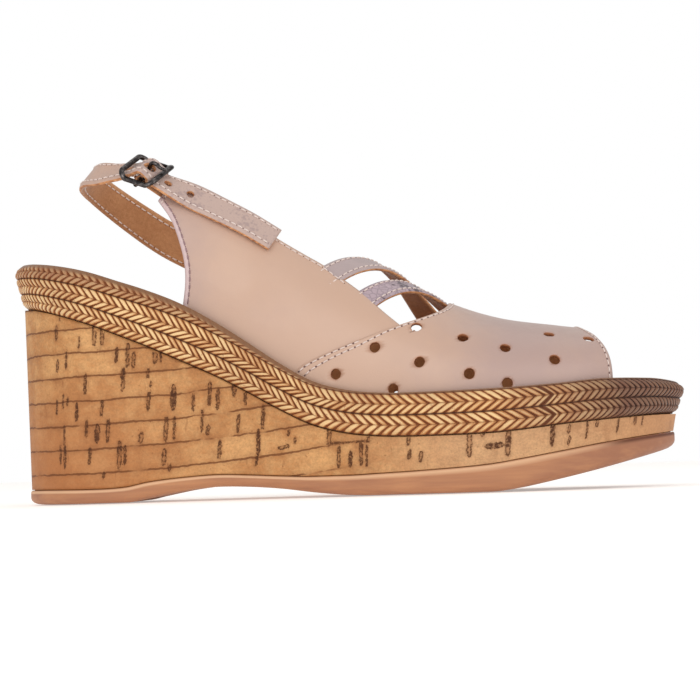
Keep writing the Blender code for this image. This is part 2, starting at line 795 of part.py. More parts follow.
def make_buckle_tab():
    """Leather loop from inside the quarter round the buckle's bar, slotted for the prong."""
    points, normals = strap_rows(TAB_ROWS, -1)
    radius = BAR_RADIUS + SEAT_GAP + TAB_THICKNESS / 2
    turns = np.radians(np.linspace(TAB_TURN_START, TAB_TURN_END, 9))
    centre, forward, _, outward = buckle_axes()
    spokes = np.cos(turns)[:, None] * forward + np.sin(turns)[:, None] * outward
    points = np.concatenate((points, centre + radius * spokes))
    normals = np.concatenate((normals, -spokes))
    path = smooth_rows(np.column_stack((points, normals)), 26)
    grid = ribbon(path[:, :3], unit(path[:, 3:]), TAB_WIDTH)
    tab = leather("buckle_tab", grid, TAB_THICKNESS, "nude_leather")
    root = PRONG[0]
    slot = buckle_point(root.forward, 0, root.out)
    cut(tab, rod("prong_slot", slot, outward, TAB_SLOT_RADIUS, TAB_SLOT_LENGTH))
    keep(tab)


def make_buckle():
    """Bowed wire frame with a centre bar, and the prong that lies over the strap on its front side."""
    turn = np.radians(np.arange(0, 360, 12))
    straight = np.array([BUCKLE_HALF_LENGTH - BUCKLE_CORNER, BUCKLE_HALF_WIDTH - BUCKLE_CORNER])
    corner = np.stack((np.cos(turn), np.sin(turn)), axis=1)
    flat = corner * BUCKLE_CORNER + np.sign(np.round(corner, 6)) * straight
    bow = BUCKLE_BOW * (flat[:, 0] / BUCKLE_HALF_LENGTH) ** 2
    places = [buckle_point(a, b, h) for (a, b), h in zip(flat, bow)]
    frame = wire("buckle_frame", places, BUCKLE_WIRE, True, "gunmetal")
    _, _, across, _ = buckle_axes()
    union(frame, rod("centre_bar", buckle_point(0, 0, 0), across, BAR_RADIUS, 2 * BUCKLE_HALF_WIDTH))
    keep(frame)
    prong = [buckle_point(point.forward, 0, point.out) for point in PRONG]
    keep(wire("buckle_prong", smooth_rows(prong, 14), PRONG_RADIUS, False, "gunmetal"))


def main():
    for old in list(bpy.data.objects):
        bpy.data.objects.remove(old)
    for name in ("platform_sandal", "cutters"):
        bpy.context.scene.collection.children.link(bpy.data.collections.new(name))
    make_outsole()
    make_cork_wedge()
    make_braid_rand()
    make_insole()
    make_upper()
    make_heel_strap()
    make_buckle_tab()
    make_buckle()


main()
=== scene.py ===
"""Looks of a platform wedge sandal for a right foot: leather, stitching, braid, cork, tread and buckle.

The toe points along +X, the outer (lateral) side faces -Y and the sole stands on z = 0.
Shapes are worked out in millimetres and written to the meshes in metres.
"""

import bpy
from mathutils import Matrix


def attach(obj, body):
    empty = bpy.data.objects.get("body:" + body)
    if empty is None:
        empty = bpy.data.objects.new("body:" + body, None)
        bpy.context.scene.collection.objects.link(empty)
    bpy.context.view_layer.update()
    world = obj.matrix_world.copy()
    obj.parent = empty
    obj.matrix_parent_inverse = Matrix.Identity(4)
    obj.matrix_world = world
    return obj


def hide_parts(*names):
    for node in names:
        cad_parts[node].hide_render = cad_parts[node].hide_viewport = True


bl_info = {
    "name": "Platform sandal looks",
    "version": (1, 0, 0),
    "blender": (4, 5, 0),
    "location": "3D View > Sidebar > Sandal",
    "description": "Finished surfaces of a platform wedge sandal, made around its solids",
    "category": "Add Mesh",
}

import math
from collections import namedtuple

import bmesh
import bpy
import numpy as np
from bpy.props import FloatProperty, FloatVectorProperty, PointerProperty
from mathutils import Quaternion, Vector

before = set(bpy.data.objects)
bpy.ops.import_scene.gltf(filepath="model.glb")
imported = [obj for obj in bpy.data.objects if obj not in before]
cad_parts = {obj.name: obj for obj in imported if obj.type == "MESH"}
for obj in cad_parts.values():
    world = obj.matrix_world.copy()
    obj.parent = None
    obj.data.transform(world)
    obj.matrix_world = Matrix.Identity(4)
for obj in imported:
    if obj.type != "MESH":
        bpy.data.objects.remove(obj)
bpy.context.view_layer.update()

MM = 0.001
WELD = 0.000002


def table(columns, *rows):
    """Rows of numbers with named columns."""
    row = namedtuple("row", columns)
    return [row(*values) for values in rows]


# Overall sizes
SHOE_LENGTH = 248.0
HEEL_ROUND = 29.0
TOE_ROUND = 46.0
SEAT_GAP = 0.3
SEAT_FLOAT = 0.02
PLINTH_INSET = 1.0
RING_STATIONS = 1500

# Sole layers, each inset from the outer edge of the rand
OUTSOLE_INSET = 4.2
TREAD_INSET = 9.4
SOLE_EDGE_ROUND = 2.0
SOLE_EDGE_HEIGHT = 1.2 * SOLE_EDGE_ROUND
SOLE_EDGE_REACH = 2 * SOLE_EDGE_ROUND
SOLE_LIP_INSET = 0.5
SOLE_LIP_ROUND_INSET = 0.1
SOLE_LIP_ROUND = 0.4
SOLE_LIP = 0.9
WEDGE_FOOT_INSET = 4.6
WEDGE_HEAD_INSET = 3.4
RAND_WIDTH = 5.0
RAND_BACK_INSET = 4.2
RAND_END_FLARE = 3.2
RAND_FLARE_LENGTH = 26.0
RAND_WIDEST_SHARE = 0.72
BRAID_TAPER = 0.3
FOOTBED_DROP = 2.0
INSOLE_THICKNESS = 4.5

# Upper
LAST_INSET = 7.7
LEATHER = 1.6
QUARTER_LIFT = 0.8
VAMP_LIFT = 1.5
INSTEP_STRAP_LIFT = 0.1
INSTEP_STRAP_THICKNESS = 1.8
LASTING_DEPTH = 3.9
LASTING_TURN = 1.6
QUARTER_LASTING_DEPTH = 3.5
VAMP_SEAM_X = -18.4
VAMP_SEAM_POWER = 1.4
VAMP_THROAT_X = 37.0
VAMP_TOE_X = 94.0
TOE_OPENING_SETBACK = 8.0
TOE_OPENING_POWER = 3
QUARTER_FRONT_FOOT_X = -5.0
PUNCH_RADIUS = 1.95

# Stretch where the insole is narrowed for the upper, and how gently it narrows at each end
TUCK_HEEL_X = -76.2
TUCK_TOE_X = 108.0
TUCK_HEEL_RAMP = 6.0
TUCK_TOE_RAMP = 4.0

# Slingback strap and buckle
STRAP_WIDTH = 11.0
STRAP_ROOT_WIDTH = 17.0
STRAP_TAPER_SHARE = 0.42
STRAP_THICKNESS = 2.0
STRAP_HOLE_RADIUS = 1.4
STRAP_HOLE_PITCH = 9.0
STRAP_HOLES = 4
STRAP_LOOP_MIDDLE_X = -66.0
PRONG_HOLE = 1
PRONG_HOLE_RADIUS = 1.9
PRONG_FORWARD = 1.3
TAB_WIDTH = 8.0
TAB_THICKNESS = 1.0
TAB_TURN_START = -95.0
TAB_TURN_END = -300.0
BUCKLE_WIRE = 1.0
BUCKLE_HALF_LENGTH = 6.8
BUCKLE_HALF_WIDTH = 7.8
BUCKLE_CORNER = 2.6
BUCKLE_BOW = 3.1
BAR_RADIUS = 1.0
BAR_LIFT = 3.2
BUCKLE_X = -71.0
BUCKLE_Z = 116.6
BUCKLE_TURN_UP = 0.65
BUCKLE_WAY = (0.9, -0.35, -0.25)
PRONG_RADIUS = 0.75

# Treads: slanting borders of the two patches, the rubber line between pits and the room left beside a border
HEEL_TREAD_X = -73.0
HEEL_TREAD_SLANT = 0.2
FORE_TREAD_X = -0.5
FORE_TREAD_SLANT = 0.73
TREAD_MARGIN = 1.2
FORE_TREAD_LINE = 0.45
HEEL_TREAD_LINE = 0.5
TREAD_HALF_LENGTH = 140
TREAD_HALF_WIDTH = 60
TREAD_SINK = 0.9
TREAD_SKIRT = 1.05

# Rings of a tread cell, from its rim inwards: scale against the pit, share of the depth, and darkness, which
# is painted shade deepening into the pit
PIT_FLOOR = (0.86, 1.0, 1.0)
ISLAND_FOOT = (0.62, 1.0, 1.0)
ISLAND_TOP = (0.5, 0.35, 0.35)
RIM_SHADE = (0.3, 0.45)

# Seams: distance from a strap's edge, angles on the last where the vamp's seams end and where the lap's
# two rows join, reach that gives a stitch its way, share of a needle hole that shows, and edge thickness
STRAP_SEAM = 1.6
INSTEP_SEAM = 1.5
SEAM_END_ANGLE = 1.5
LAP_ROW_ANGLE = 22
LAP_EASE_ANGLES = (17, 30)
STITCH_REACH = 0.2
# The part of a needle hole that shows is a dark disc of painted shade.
HOLE_SHARE = 0.6
EDGE_THICKNESS = 0.45

# Fineness of the meshes: points along and across each piece
LAST_STATIONS = 300
CORK_MESH = (45, 1121)
SOLE_STATIONS = 330
SOLE_COLUMNS = 121
BED_STATIONS = 200
BED_COLUMNS = 61
CAP_COLUMNS = 5
VAMP_MESH = (161, 151)
QUARTER_MESH = (141, 66)
INSTEP_MESH = (130, 17)
STRAP_MESH = (420, 23)
TAB_MESH = (90, 15)
TUBE_SIDES = 18
BAR_POINTS = 12
PRONG_POINTS = 48

# Plan of the rand: middle line and half width, before the ends are rounded off
PLAN = table(
    "x middle half_width",
    (-124, 0.0, 28.5),
    (-107, 0.0, 31.2),
    (-87, 0.0, 32.8),
    (-57, -0.8, 32.3),
    (-22, -2.5, 32.0),
    (8, -3.0, 37.0),
    (33, -1.8, 43.8),
    (53, 0.0, 45.5),
    (78, 2.0, 43.0),
    (98, 3.5, 39.0),
    (113, 4.6, 36.0),
    (124, 5.0, 32.0),
)

# Side view: heights of the layers
SIDE = table(
    "x rand_top rand_bottom outsole_top outsole_bottom",
    (-124, 89.0, 73.2, 5.2, 0.0),
    (-113, 87.8, 71.0, 5.2, 0.0),
    (-93, 83.6, 64.8, 5.0, 0.0),
    (-80, 79.2, 59.6, 5.5, 0.0),
    (-72, 76.4, 56.2, 7.0, 1.4),
    (-59, 70.9, 50.2, 8.3, 3.6),
    (-46, 63.4, 44.0, 8.9, 4.6),
    (-35, 56.0, 38.0, 8.4, 4.2),
    (-24, 48.3, 31.6, 7.7, 3.2),
    (-12, 41.2, 25.6, 7.2, 1.5),
    (0, 37.5, 22.3, 7.2, 0.3),
    (10, 36.1, 21.0, 7.5, 0.0),
    (26, 35.6, 20.4, 8.1, 0.0),
    (50, 36.0, 20.7, 9.6, 0.0),
    (60, 36.4, 21.4, 11.0, 1.0),
    (74, 37.2, 22.9, 13.2, 3.6),
    (90, 38.6, 24.3, 15.8, 7.0),
    (108, 38.8, 25.6, 18.2, 11.2),
    (124, 37.4, 26.4, 20.0, 15.0),
)

# Outer face of the rand from its foot to its top: share of the height and inset, before the braid's relief
RAND_FACE = table(
    "share inset",
    (0.0, 2.2),
    (0.08, 0.5),
    (0.25, 0.0),
    (0.72, 0.0),
    (0.88, 0.6),
    (0.96, 1.9),
    (1.0, 2.7),
)

# Braid along the shoe: pitch of its strands and their way along the row for each step across it
BRAID = table(
    "x pitch lean",
    (-124, 2.65, 1.1),
    (-94, 2.6, 1.1),
    (-80, 2.5, 1.1),
    (-55, 2.45, 1.1),
    (-29, 2.3, 1.1),
    (-16, 2.5, 1.1),
    (-3, 2.95, 1.15),
    (10, 3.2, 1.25),
    (23, 3.4, 1.4),
    (66, 3.5, 1.4),
    (70, 2.75, 1.1),
    (124, 2.6, 1.0),
)
BRAID_JOIN_X = 67.0
BRAID_FULL_ROW = 5.0
BRAID_CREASE = 0.3
BRAID_CREASE_SHARE = 0.05
BRAID_GROOVE_POWER = 3
BRAID_VALLEY_POWER = 7
ACROSS_STRAND = (0.0, 0.07, 0.2, 0.35, 0.5, 0.65, 0.8, 0.93)
ACROSS_HALF_ROW = (0.0, 0.12, 0.35, 0.65, 0.88)

# Rows of the braid: shares of its height where the second and third begin, and the share of the third row
# where the plain lip begins
BRAID_ROWS = table(
    "x second_row third_row lip",
    (-124, 0.335, 0.68, 0.80),
    (-100, 0.335, 0.68, 0.78),
    (-55, 0.36, 0.76, 0.58),
    (-20, 0.44, 0.89, 0.25),
    (10, 0.48, 0.97, 0.08),
    (124, 0.48, 0.97, 0.08),
)

# Insole section from its underside up and in: inset from its edge and depth below the foot-bed
INSOLE_SECTION = table(
    "inset depth",
    (0.0, INSOLE_THICKNESS),
    (0.0, 1.2),
    (0.3, 0.5),
    (1.0, 0.0),
    (3.0, 0.25),
    (6.0, 0.8),
    (10.0, 1.3),
    (14.0, 1.6),
)

# Soft dips of the foot-bed under the heel and the ball
FOOTBED_DIPS = table(
    "x length width depth",
    (-92, 22, 14, 0.5),
    (52, 24, 20, 0.5),
)

# Last: height of the ridge, its shift to the inner side, squareness and bulge of the section
LAST = table(
    "x ridge shift squareness bulge",
    (-86, 137.0, 0.0, 2.4, 0.16),
    (-62, 127.0, 1.0, 2.4, 0.16),
    (-42, 115.5, 2.0, 2.4, 0.15),
    (-22, 102.5, 3.5, 2.3, 0.12),
    (-8, 92.5, 4.0, 2.2, 0.11),
    (3, 86.0, 4.5, 2.2, 0.10),
    (18, 78.0, 5.0, 2.2, 0.07),
    (36, 68.5, 5.5, 2.3, 0.05),
    (55, 61.8, 6.0, 2.4, 0.04),
    (77, 58.2, 6.0, 2.4, 0.04),
    (98, 55.5, 5.0, 2.4, 0.04),
)

# Quarter edges in side view
LATERAL_TOP = table(
    "x z",
    (-66.3, 108.5),
    (-60.5, 116.8),
    (-54.2, 111.5),
    (-46.4, 106.8),
    (-33.6, 99.8),
    (-23.8, 93.2),
    (-14.0, 87.0),
    (-7.1, 82.7),
    (0.2, 77.0),
    (7.5, 71.0),
    (14.3, 64.5),
    (24.0, 56.0),
)
LATERAL_REAR = table(
    "x z",
    (-58.2, 68.3),
    (-56.8, 78.5),
    (-57.1, 86.5),
    (-59.2, 95.0),
    (-62.0, 102.0),
    (-66.3, 108.5),
)
MEDIAL_TOP = table(
    "x z",
    (-58.0, 103.5),
    (-46.5, 99.0),
    (-33.6, 94.5),
    (-23.8, 90.6),
    (-14.0, 86.0),
    (-7.1, 82.0),
    (0.2, 76.5),
    (7.5, 70.5),
    (14.3, 64.0),
    (24.0, 55.5),
)
MEDIAL_REAR = table(
    "x z",
    (-50.0, 63.8),
    (-51.0, 73.0),
    (-53.5, 82.0),
    (-57.0, 92.0),
    (-58.0, 103.5),
)

# Punched holes of the vamp: place along the foot and height, as a share of the ridge height
HOLES = table(
    "x rise",
    (-2.9, 0.11),
    (11.2, 0.34),
    (17.5, 0.06),
    (25.8, 0.57),
    (26.9, 0.27),
    (41.9, 0.55),
    (43.8, 0.18),
    (56.7, 0.49),
    (56.8, 0.08),
    (72.9, 0.74),
    (73.8, 0.34),
    (87.0, 0.70),
)
RIDGE_HOLES_X = [43.0, 58.0, 73.0]

# Instep straps: where each leaves the lateral quarter and where it goes under the vamp
INSTEP_STRAPS = table(
    "name x_start angle_start x_end angle_end width arch",
    ("plain_strap", -12.0, 36.0, 38.0, 140.0, 9.5, 3.2),
    ("printed_strap", 2.0, 33.0, 46.0, 118.0, 9.0, 1.8),
)

# Slingback strap: rows on the last at both ends, free loop rows between
STRAP_MEDIAL_END = table(
    "x z lift",
    (-36.0, 82.5, 2.9),
    (-46.0, 88.0, 2.9),
    (-56.0, 93.5, 2.9),
)
STRAP_LOOP = table(
    "x y z lean",
    (-70.0, 28.3, 100.8, 22.0),
    (-82.5, 23.0, 109.4, 30.0),
    (-92.0, 12.5, 116.8, 36.0),
    (-95.2, 0.0, 120.3, 40.0),
    (-92.6, -11.0, 121.2, 40.0),
    (-86.0, -18.5, 120.3, 42.0),
)
STRAP_TAIL = table(
    "x z lift",
    (-54.0, 108.4, 2.9),
    (-45.0, 103.6, 2.9),
    (-35.0, 98.0, 2.9),
    (-25.5, 91.8, 2.9),
)

# Buckle tab inside the lateral quarter, from its end up to the bar
TAB_ROWS = table(
    "x z lift",
    (-50.0, 106.6, -1.6),
    (-56.0, 110.2, -1.6),
    (-61.5, 113.1, -2.1),
)

# Strap and prong in the buckle's own directions: along the strap and outward from the bar
STRAP_IN_BUCKLE = table(
    "forward out",
    (-7.2, -0.3),
    (-3.8, 1.7),
    (0.0, 4.2),
    (3.8, 2.2),
    (7.0, -0.3),
)
PRONG = table(
    "forward out",
    (0.3, 1.4),
    (1.0, 3.0),
    (1.6, 5.0),
    (2.6, 6.3),
    (4.4, 6.2),
    (5.8, 5.35),
    (8.4, 5.15),
)

# Dark marks in the cork of the outer side: middle, height and width
CORK_MARKS = table(
    "x z height width",
    (-104, 68, 4, 1.1),
    (-106, 62, 5, 1.3),
    (-96, 58, 4, 0.8),
    (-90, 61, 8, 1.5),
    (-87, 61, 8, 1.5),
    (-102, 52, 7, 0.9),
    (-106, 50, 4, 1.4),
    (-82, 53, 5, 1.1),
    (-78, 53, 8, 1.4),
    (-76, 51, 5, 1.4),
    (-68, 53, 6, 1.8),
    (-66, 53, 6, 0.9),
    (-94, 43, 7, 1.1),
    (-80, 46, 3, 1.7),
    (-80, 42, 3, 1.4),
    (-71, 46, 3, 1.2),
    (-70, 42, 2, 0.9),
    (-107, 35, 6, 0.8),
    (-104, 37, 5, 0.8),
    (-102, 37, 3, 0.9),
    (-98, 33, 6, 1.4),
    (-88, 34, 5, 1.2),
    (-71, 36, 6, 1.3),
    (-62, 37, 8, 2.0),
    (-104, 25, 7, 0.9),
    (-94, 27, 6, 1.1),
    (-90, 25, 6, 1.8),
    (-86, 26, 8, 1.3),
    (-74, 23, 3, 1.7),
    (-65, 26, 8, 1.5),
    (-62, 26, 8, 0.9),
    (-106, 18, 7, 0.9),
    (-104, 17, 8, 1.2),
    (-93, 17, 6, 1.0),
    (-82, 17, 9, 1.7),
    (-80, 17, 7, 0.9),
    (-66, 16, 5, 1.6),
    (-64, 12, 2, 1.1),
    (-88, 10, 2, 1.1),
    (-55, 35, 6, 0.9),
    (-49, 38, 8, 1.3),
    (-46, 36, 7, 1.3),
    (-40, 40, 7, 1.3),
    (-36, 37, 7, 1.1),
    (-30, 29, 8, 1.1),
    (-50, 25, 3, 1.3),
    (-52, 28, 8, 0.8),
    (-39, 27, 6, 1.2),
    (-46, 18, 6, 1.4),
    (-32, 20, 9, 1.3),
    (-33, 13, 3, 0.9),
    (-21, 23, 2, 0.9),
    (-19, 20, 2, 0.8),
    (-23, 18, 1.5, 2.8),
    (-7, 22, 8, 1.5),
    (-4, 14, 7, 1.3),
    (0, 13, 5, 1.3),
    (4, 15, 8, 1.3),
    (6, 14, 7, 0.9),
    (7, 21, 4, 1.1),
    (0.5, 19, 0.7, 15),
    (21, 19, 3, 1.4),
    (21, 14, 3, 1.2),
    (25, 13, 3, 1.5),
    (43, 17, 8, 1.8),
    (48, 21, 3, 1.5),
    (52, 16, 2, 5.5),
    (57, 17, 8, 2.0),
    (73, 20, 9, 1.6),
    (79, 21, 2, 1.5),
    (79, 17, 2, 1.5),
    (86, 21, 7, 0.8),
    (90, 24, 4, 1.3),
    (98, 22, 5, 0.8),
    (103, 26, 2, 1.4),
    (105, 24, 3, 1.4),
    (108, 24, 4, 0.8),
)

# Depth far from any mark, and the random marks of the inner side: spacing, height, width and margin
NO_MARK = -2.0
MARK_SEED = 11
MARK_SPACING = (1.6, 6.5)
MARK_HEIGHT = (2.5, 8.0)
MARK_WIDTH = (0.7, 1.8)
MARK_MARGIN = 2

# Soft creases of the leather: a trough along the last between two places, its width and depth
CREASES = table(
    "x_start angle_start x_end angle_end width depth",
    (30.0, 20.0, 46.0, 62.0, 5.0, 0.35),
    (52.0, 14.0, 60.0, 48.0, 6.0, 0.30),
    (80.0, 30.0, 84.0, 66.0, 4.0, 0.25),
    (-48.0, 12.0, -40.0, 34.0, 9.0, 0.55),
    (-28.0, 10.0, -22.0, 30.0, 8.0, 0.40),
    (30.0, 160.0, 46.0, 118.0, 5.0, 0.35),
    (-40.0, 168.0, -34.0, 146.0, 9.0, 0.50),
)

# Stage: half side of the floor and its drop below the sole, and the soft lights, which are given in metres
FLOOR_HALF = 4000.0
FLOOR_DROP = 0.3
LIGHT_AIM = (0.0, 0.0, 0.05)
LIGHTS = table(
    "name size place",
    ("key", 0.9, (-0.35, -1.2, 0.6)),
    ("fill", 0.9, (0.75, -0.85, 0.45)),
    ("top", 0.8, (0.05, 0.35, 1.1)),
)


def srgb(red, green, blue):
    """Linear colour of an 8-bit screen colour."""
    share = np.array([red, green, blue]) / 255
    linear = np.where(share <= 0.04045, share / 12.92, ((share + 0.055) / 1.055) ** 2.4)
    return tuple(float(channel) for channel in linear)


def column(rows, name):
    """One named column of a table as an array."""
    return np.array([getattr(row, name) for row in rows], float)


def along(place, rows, name):
    """A column at any place on the table's first column: cubic pieces that keep the rows' mean slopes."""
    at = np.array([row[0] for row in rows], float)
    value = column(rows, name)
    step = np.diff(value) / np.diff(at)
    slope = np.concatenate((step[:1], (step[1:] + step[:-1]) / 2, step[-1:]))
    slope[1:-1][step[1:] * step[:-1] <= 0] = 0.0
    place = np.clip(place, at[0], at[-1])
    i = np.clip(np.searchsorted(at, place, side="right") - 1, 0, len(at) - 2)
    span = at[i + 1] - at[i]
    t = (place - at[i]) / span
    rise = (1 + 2 * t) * (1 - t) ** 2 * value[i] + t * t * (3 - 2 * t) * value[i + 1]
    return rise + span * t * (1 - t) * ((1 - t) * slope[i] - t * slope[i + 1])


def unit(vectors):
    return vectors / np.linalg.norm(vectors, axis=-1, keepdims=True)


def ease(value, low, high):
    """0 below low, 1 above high, and a smooth step between."""
    t = np.clip((value - low) / (high - low), 0, 1)
    return t * t * (3 - 2 * t)


def travel_of(points, axis=0):
    """Distance walked along a line of points, or along one axis of a grid of points."""
    steps = np.linalg.norm(np.diff(points, axis=axis), axis=-1)
    start = np.zeros_like(np.take(steps, [0], axis))
    return np.concatenate((start, np.cumsum(steps, axis=axis)), axis=axis)


def sample(at, travel, rows):
    """Rows of numbers along a line, read at other places on it."""
    return np.stack([np.interp(at, travel, rows[:, k]) for k in range(rows.shape[1])], axis=-1)


def outline(inset, stations):
    """Closed plan of the rand pushed inwards by inset: heel, lateral side, toe, medial side, heel.

    The half width is the table's times sqrt(1 - way^2), where way grows from 0 to 1 over each rounded end.
    """
    half = SHOE_LENGTH / 2
    x = -half * np.cos(np.linspace(0, math.pi, stations + 1))
    heel_way = np.clip(1 - (x + half) / HEEL_ROUND, 0, 1)
    toe_way = np.clip(1 - (half - x) / TOE_ROUND, 0, 1)
    rounding = np.sqrt(1 - heel_way ** 2) * np.sqrt(1 - toe_way ** 2)
    middle = along(x, PLAN, "middle")
    width = along(x, PLAN, "half_width") * rounding
    lateral = np.column_stack((x, middle - width))
    medial = np.column_stack((x, middle + width))
    ring = np.concatenate((lateral, medial[-2:0:-1]))
    way = np.roll(ring, -1, axis=0) - np.roll(ring, 1, axis=0)
    outward = unit(np.column_stack((way[:, 1], -way[:, 0])))
    ring = ring - inset * outward
    return np.concatenate((ring, ring[:1]))


RING = outline(0.0, RING_STATIONS)
RING_OUTWARD = RING - outline(1.0, RING_STATIONS)
RING_TRAVEL = travel_of(RING)
LATERAL_LAST = outline(LAST_INSET, LAST_STATIONS)[:LAST_STATIONS + 1]
MEDIAL_LAST = outline(LAST_INSET, LAST_STATIONS)[:LAST_STATIONS - 1:-1]


def on_ring(travel, inset):
    """Plan point at a travel round the rand's outer edge, pushed inwards by inset."""
    at = np.mod(travel, RING_TRAVEL[-1])
    place = sample(at, RING_TRAVEL, RING)
    outward = sample(at, RING_TRAVEL, RING_OUTWARD)
    return place[..., 0] - inset * outward[..., 0], place[..., 1] - inset * outward[..., 1]


def ring_line(travel, inset, height):
    """Points at these travels round the rand's edge, pushed inwards by inset, at height(x)."""
    x, y = on_ring(travel, np.full(travel.size, inset))
    return np.column_stack((x, y, height(x)))


def side(x, name):
    """Height of a sole layer in side view."""
    return along(x, SIDE, name)


def footbed(x):
    return side(x, "rand_top") - FOOTBED_DROP


def last(x, angle):
    """Point of the last at x along the foot and an angle: 0 at the lateral foot-bed edge, 180 at the medial.

    The section is a superellipse between the two edges, swollen by bulge times |sin 2a|.
    """
    x, angle = np.broadcast_arrays(np.asarray(x, float), np.radians(angle))
    low = np.interp(x, LATERAL_LAST[:, 0], LATERAL_LAST[:, 1])
    high = np.interp(x, MEDIAL_LAST[:, 0], MEDIAL_LAST[:, 1])
    power = 2 / along(x, LAST, "squareness")
    swell = 1 + along(x, LAST, "bulge") * np.abs(np.sin(2 * angle))
    across = np.sign(np.cos(angle)) * np.abs(np.cos(angle)) ** power * swell
    up = np.clip(np.sin(angle), 0, 1) ** power
    y = (low + high) / 2 - (high - low) / 2 * across + along(x, LAST, "shift") * up * up
    z = footbed(x) + (along(x, LAST, "ridge") - footbed(x)) * up
    return np.stack((x, y, z), axis=-1)


def angle_at(x, z, facing):
    """Angle on the last where the surface has height z, facing -1 (lateral) or +1 (medial)."""
    share = np.clip((z - footbed(x)) / (along(x, LAST, "ridge") - footbed(x)), 0, 1)
    angle = np.degrees(np.arcsin(share ** (along(x, LAST, "squareness") / 2)))
    return np.where(facing < 0, angle, 180 - angle)


def last_normal(x, angle):
    """Outward direction of the last: the cross product of its two ways."""
    step = 0.5
    way = last(x + step, angle) - last(x - step, angle)
    turn = last(x, angle + step) - last(x, angle - step)
    return unit(np.cross(way, turn))


def creasing(x, angle):
    """Depth of the soft creases: each is a trough exp(-(distance / width)^2) beside a lower ridge."""
    depth = np.zeros(np.shape(x))
    for crease in CREASES:
        start = last(crease.x_start, crease.angle_start)
        end = last(crease.x_end, crease.angle_end)
        places = last(x, angle)
        share = np.clip((places - start) @ (end - start) / np.dot(end - start, end - start), 0, 1)
        gap = np.linalg.norm(places - start - share[..., None] * (end - start), axis=-1) / crease.width
        fade = np.sin(math.pi * np.clip(share, 0.02, 0.98)) ** 0.6
        depth = depth + crease.depth * fade * (np.exp(-gap ** 2) - 0.5 * np.exp(-((gap - 1.6) * 2) ** 2))
    return depth


def lasted(x, angle, drop, lift):
    """Points on the last with a lift, or straight below its edge by drop where drop is above zero."""
    normals = last_normal(x, np.clip(angle, 1, 179))
    grid = last(x, angle) + (lift - creasing(x, angle))[..., None] * normals
    wall = last(x, angle) + lift * unit(normals * np.array([1.0, 1.0, 0.0]))
    wall[..., 2] -= drop
    return np.where(drop[..., None] > 0, wall, grid)


def smooth_rows(rows, count):
    """Catmull-Rom curve through rows of numbers, sampled evenly along its length."""
    rows = np.asarray(rows, float)
    padded = np.concatenate((2 * rows[:1] - rows[1:2], rows, 2 * rows[-1:] - rows[-2:-1]))
    t = np.linspace(0, len(rows) - 1, 20 * len(rows))
    i = np.clip(t.astype(int), 0, len(rows) - 2)
    f = (t - i)[:, None]
    a, b, c, d = padded[i], padded[i + 1], padded[i + 2], padded[i + 3]
    dense = b + 0.5 * f * (c - a + f * (2 * a - 5 * b + 4 * c - d + f * (3 * (b - c) + d - a)))
    length = travel_of(dense[:, :3])
    even = np.linspace(0, length[-1], count)
    return sample(even, length, dense)


def ribbon(points, normals, width, columns):
    """Grid of a flat strap: its middle line, with the width at right angles to line and normal."""
    way = unit(np.gradient(points, axis=0))
    across = unit(np.cross(normals, way)) * np.broadcast_to(width, len(points))[:, None]
    share = np.linspace(-0.5, 0.5, columns)
    return points[:, None, :] + across[:, None, :] * share[None, :, None]


def grid_normals(grid):
    """Outward directions of a grid: the cross product of its row way and its column way."""
    return unit(np.cross(np.gradient(grid, axis=0), np.gradient(grid, axis=1)) + 1e-12)


def grid_quads(rows, columns):
    """Quads of a grid whose points are numbered row by row."""
    number = np.arange(rows * columns).reshape(rows, columns)
    corners = (number[:-1, :-1], number[1:, :-1], number[1:, 1:], number[:-1, 1:])
    return np.stack(corners, axis=-1).reshape(-1, 4)


def fill_mesh(name, points, blocks, looks=None, uv=None):
    """Mesh from arrays: points in millimetres, blocks of faces of equal size, looks by face, uv by point."""
    mesh = bpy.data.meshes.new(name)
    corners = np.concatenate([block.ravel() for block in blocks]).astype(np.int32)
    sizes = np.concatenate([np.full(len(block), block.shape[1]) for block in blocks])
    starts = np.concatenate(([0], np.cumsum(sizes)[:-1])).astype(np.int32)
    mesh.vertices.add(len(points))
    mesh.vertices.foreach_set("co", (np.asarray(points) * MM).astype(np.float32).ravel())
    mesh.loops.add(len(corners))
    mesh.loops.foreach_set("vertex_index", corners)
    mesh.polygons.add(len(sizes))
    mesh.polygons.foreach_set("loop_start", starts)
    if looks is not None:
        mesh.polygons.foreach_set("material_index", np.asarray(looks, np.int32))
    if uv is not None:
        layer = mesh.uv_layers.new(name="UVMap")
        layer.uv.foreach_set("vector", np.asarray(uv, np.float32)[corners].ravel())
    mesh.update(calc_edges=True)
    mesh.validate()
    return mesh


Patch = namedtuple("Patch", "grid look uv", defaults=(0, None))


def patch_mesh(name, patches):
    """Mesh of several grids, with their points numbered one grid after the other."""
    points, quads, looks, uvs = [], [], [], []
    start = 0
    for patch in patches:
        rows, columns = patch.grid.shape[:2]
        points.append(patch.grid.reshape(-1, 3))
        quads.append(grid_quads(rows, columns) + start)
        looks.append(np.full(len(quads[-1]), patch.look))
        uv = np.zeros((rows, columns, 2)) if patch.uv is None else patch.uv
        uvs.append(uv.reshape(-1, 2))
        start += rows * columns
    return fill_mesh(name, np.concatenate(points), [np.concatenate(quads)], np.concatenate(looks),
                     np.concatenate(uvs))


def close_mesh(mesh):
    """Merge doubled points and turn every face outwards."""
    body = bmesh.new()
    body.from_mesh(mesh)
    bmesh.ops.remove_doubles(body, verts=body.verts, dist=WELD)
    bmesh.ops.recalc_face_normals(body, faces=body.faces)
    body.to_mesh(mesh)
    body.free()
    return mesh


def add_values(mesh, name, values):
    """Store a number at every point of a mesh."""
    data = mesh.attributes.new(name, "FLOAT", "POINT").data
    data.foreach_set("value", np.asarray(values, np.float32))


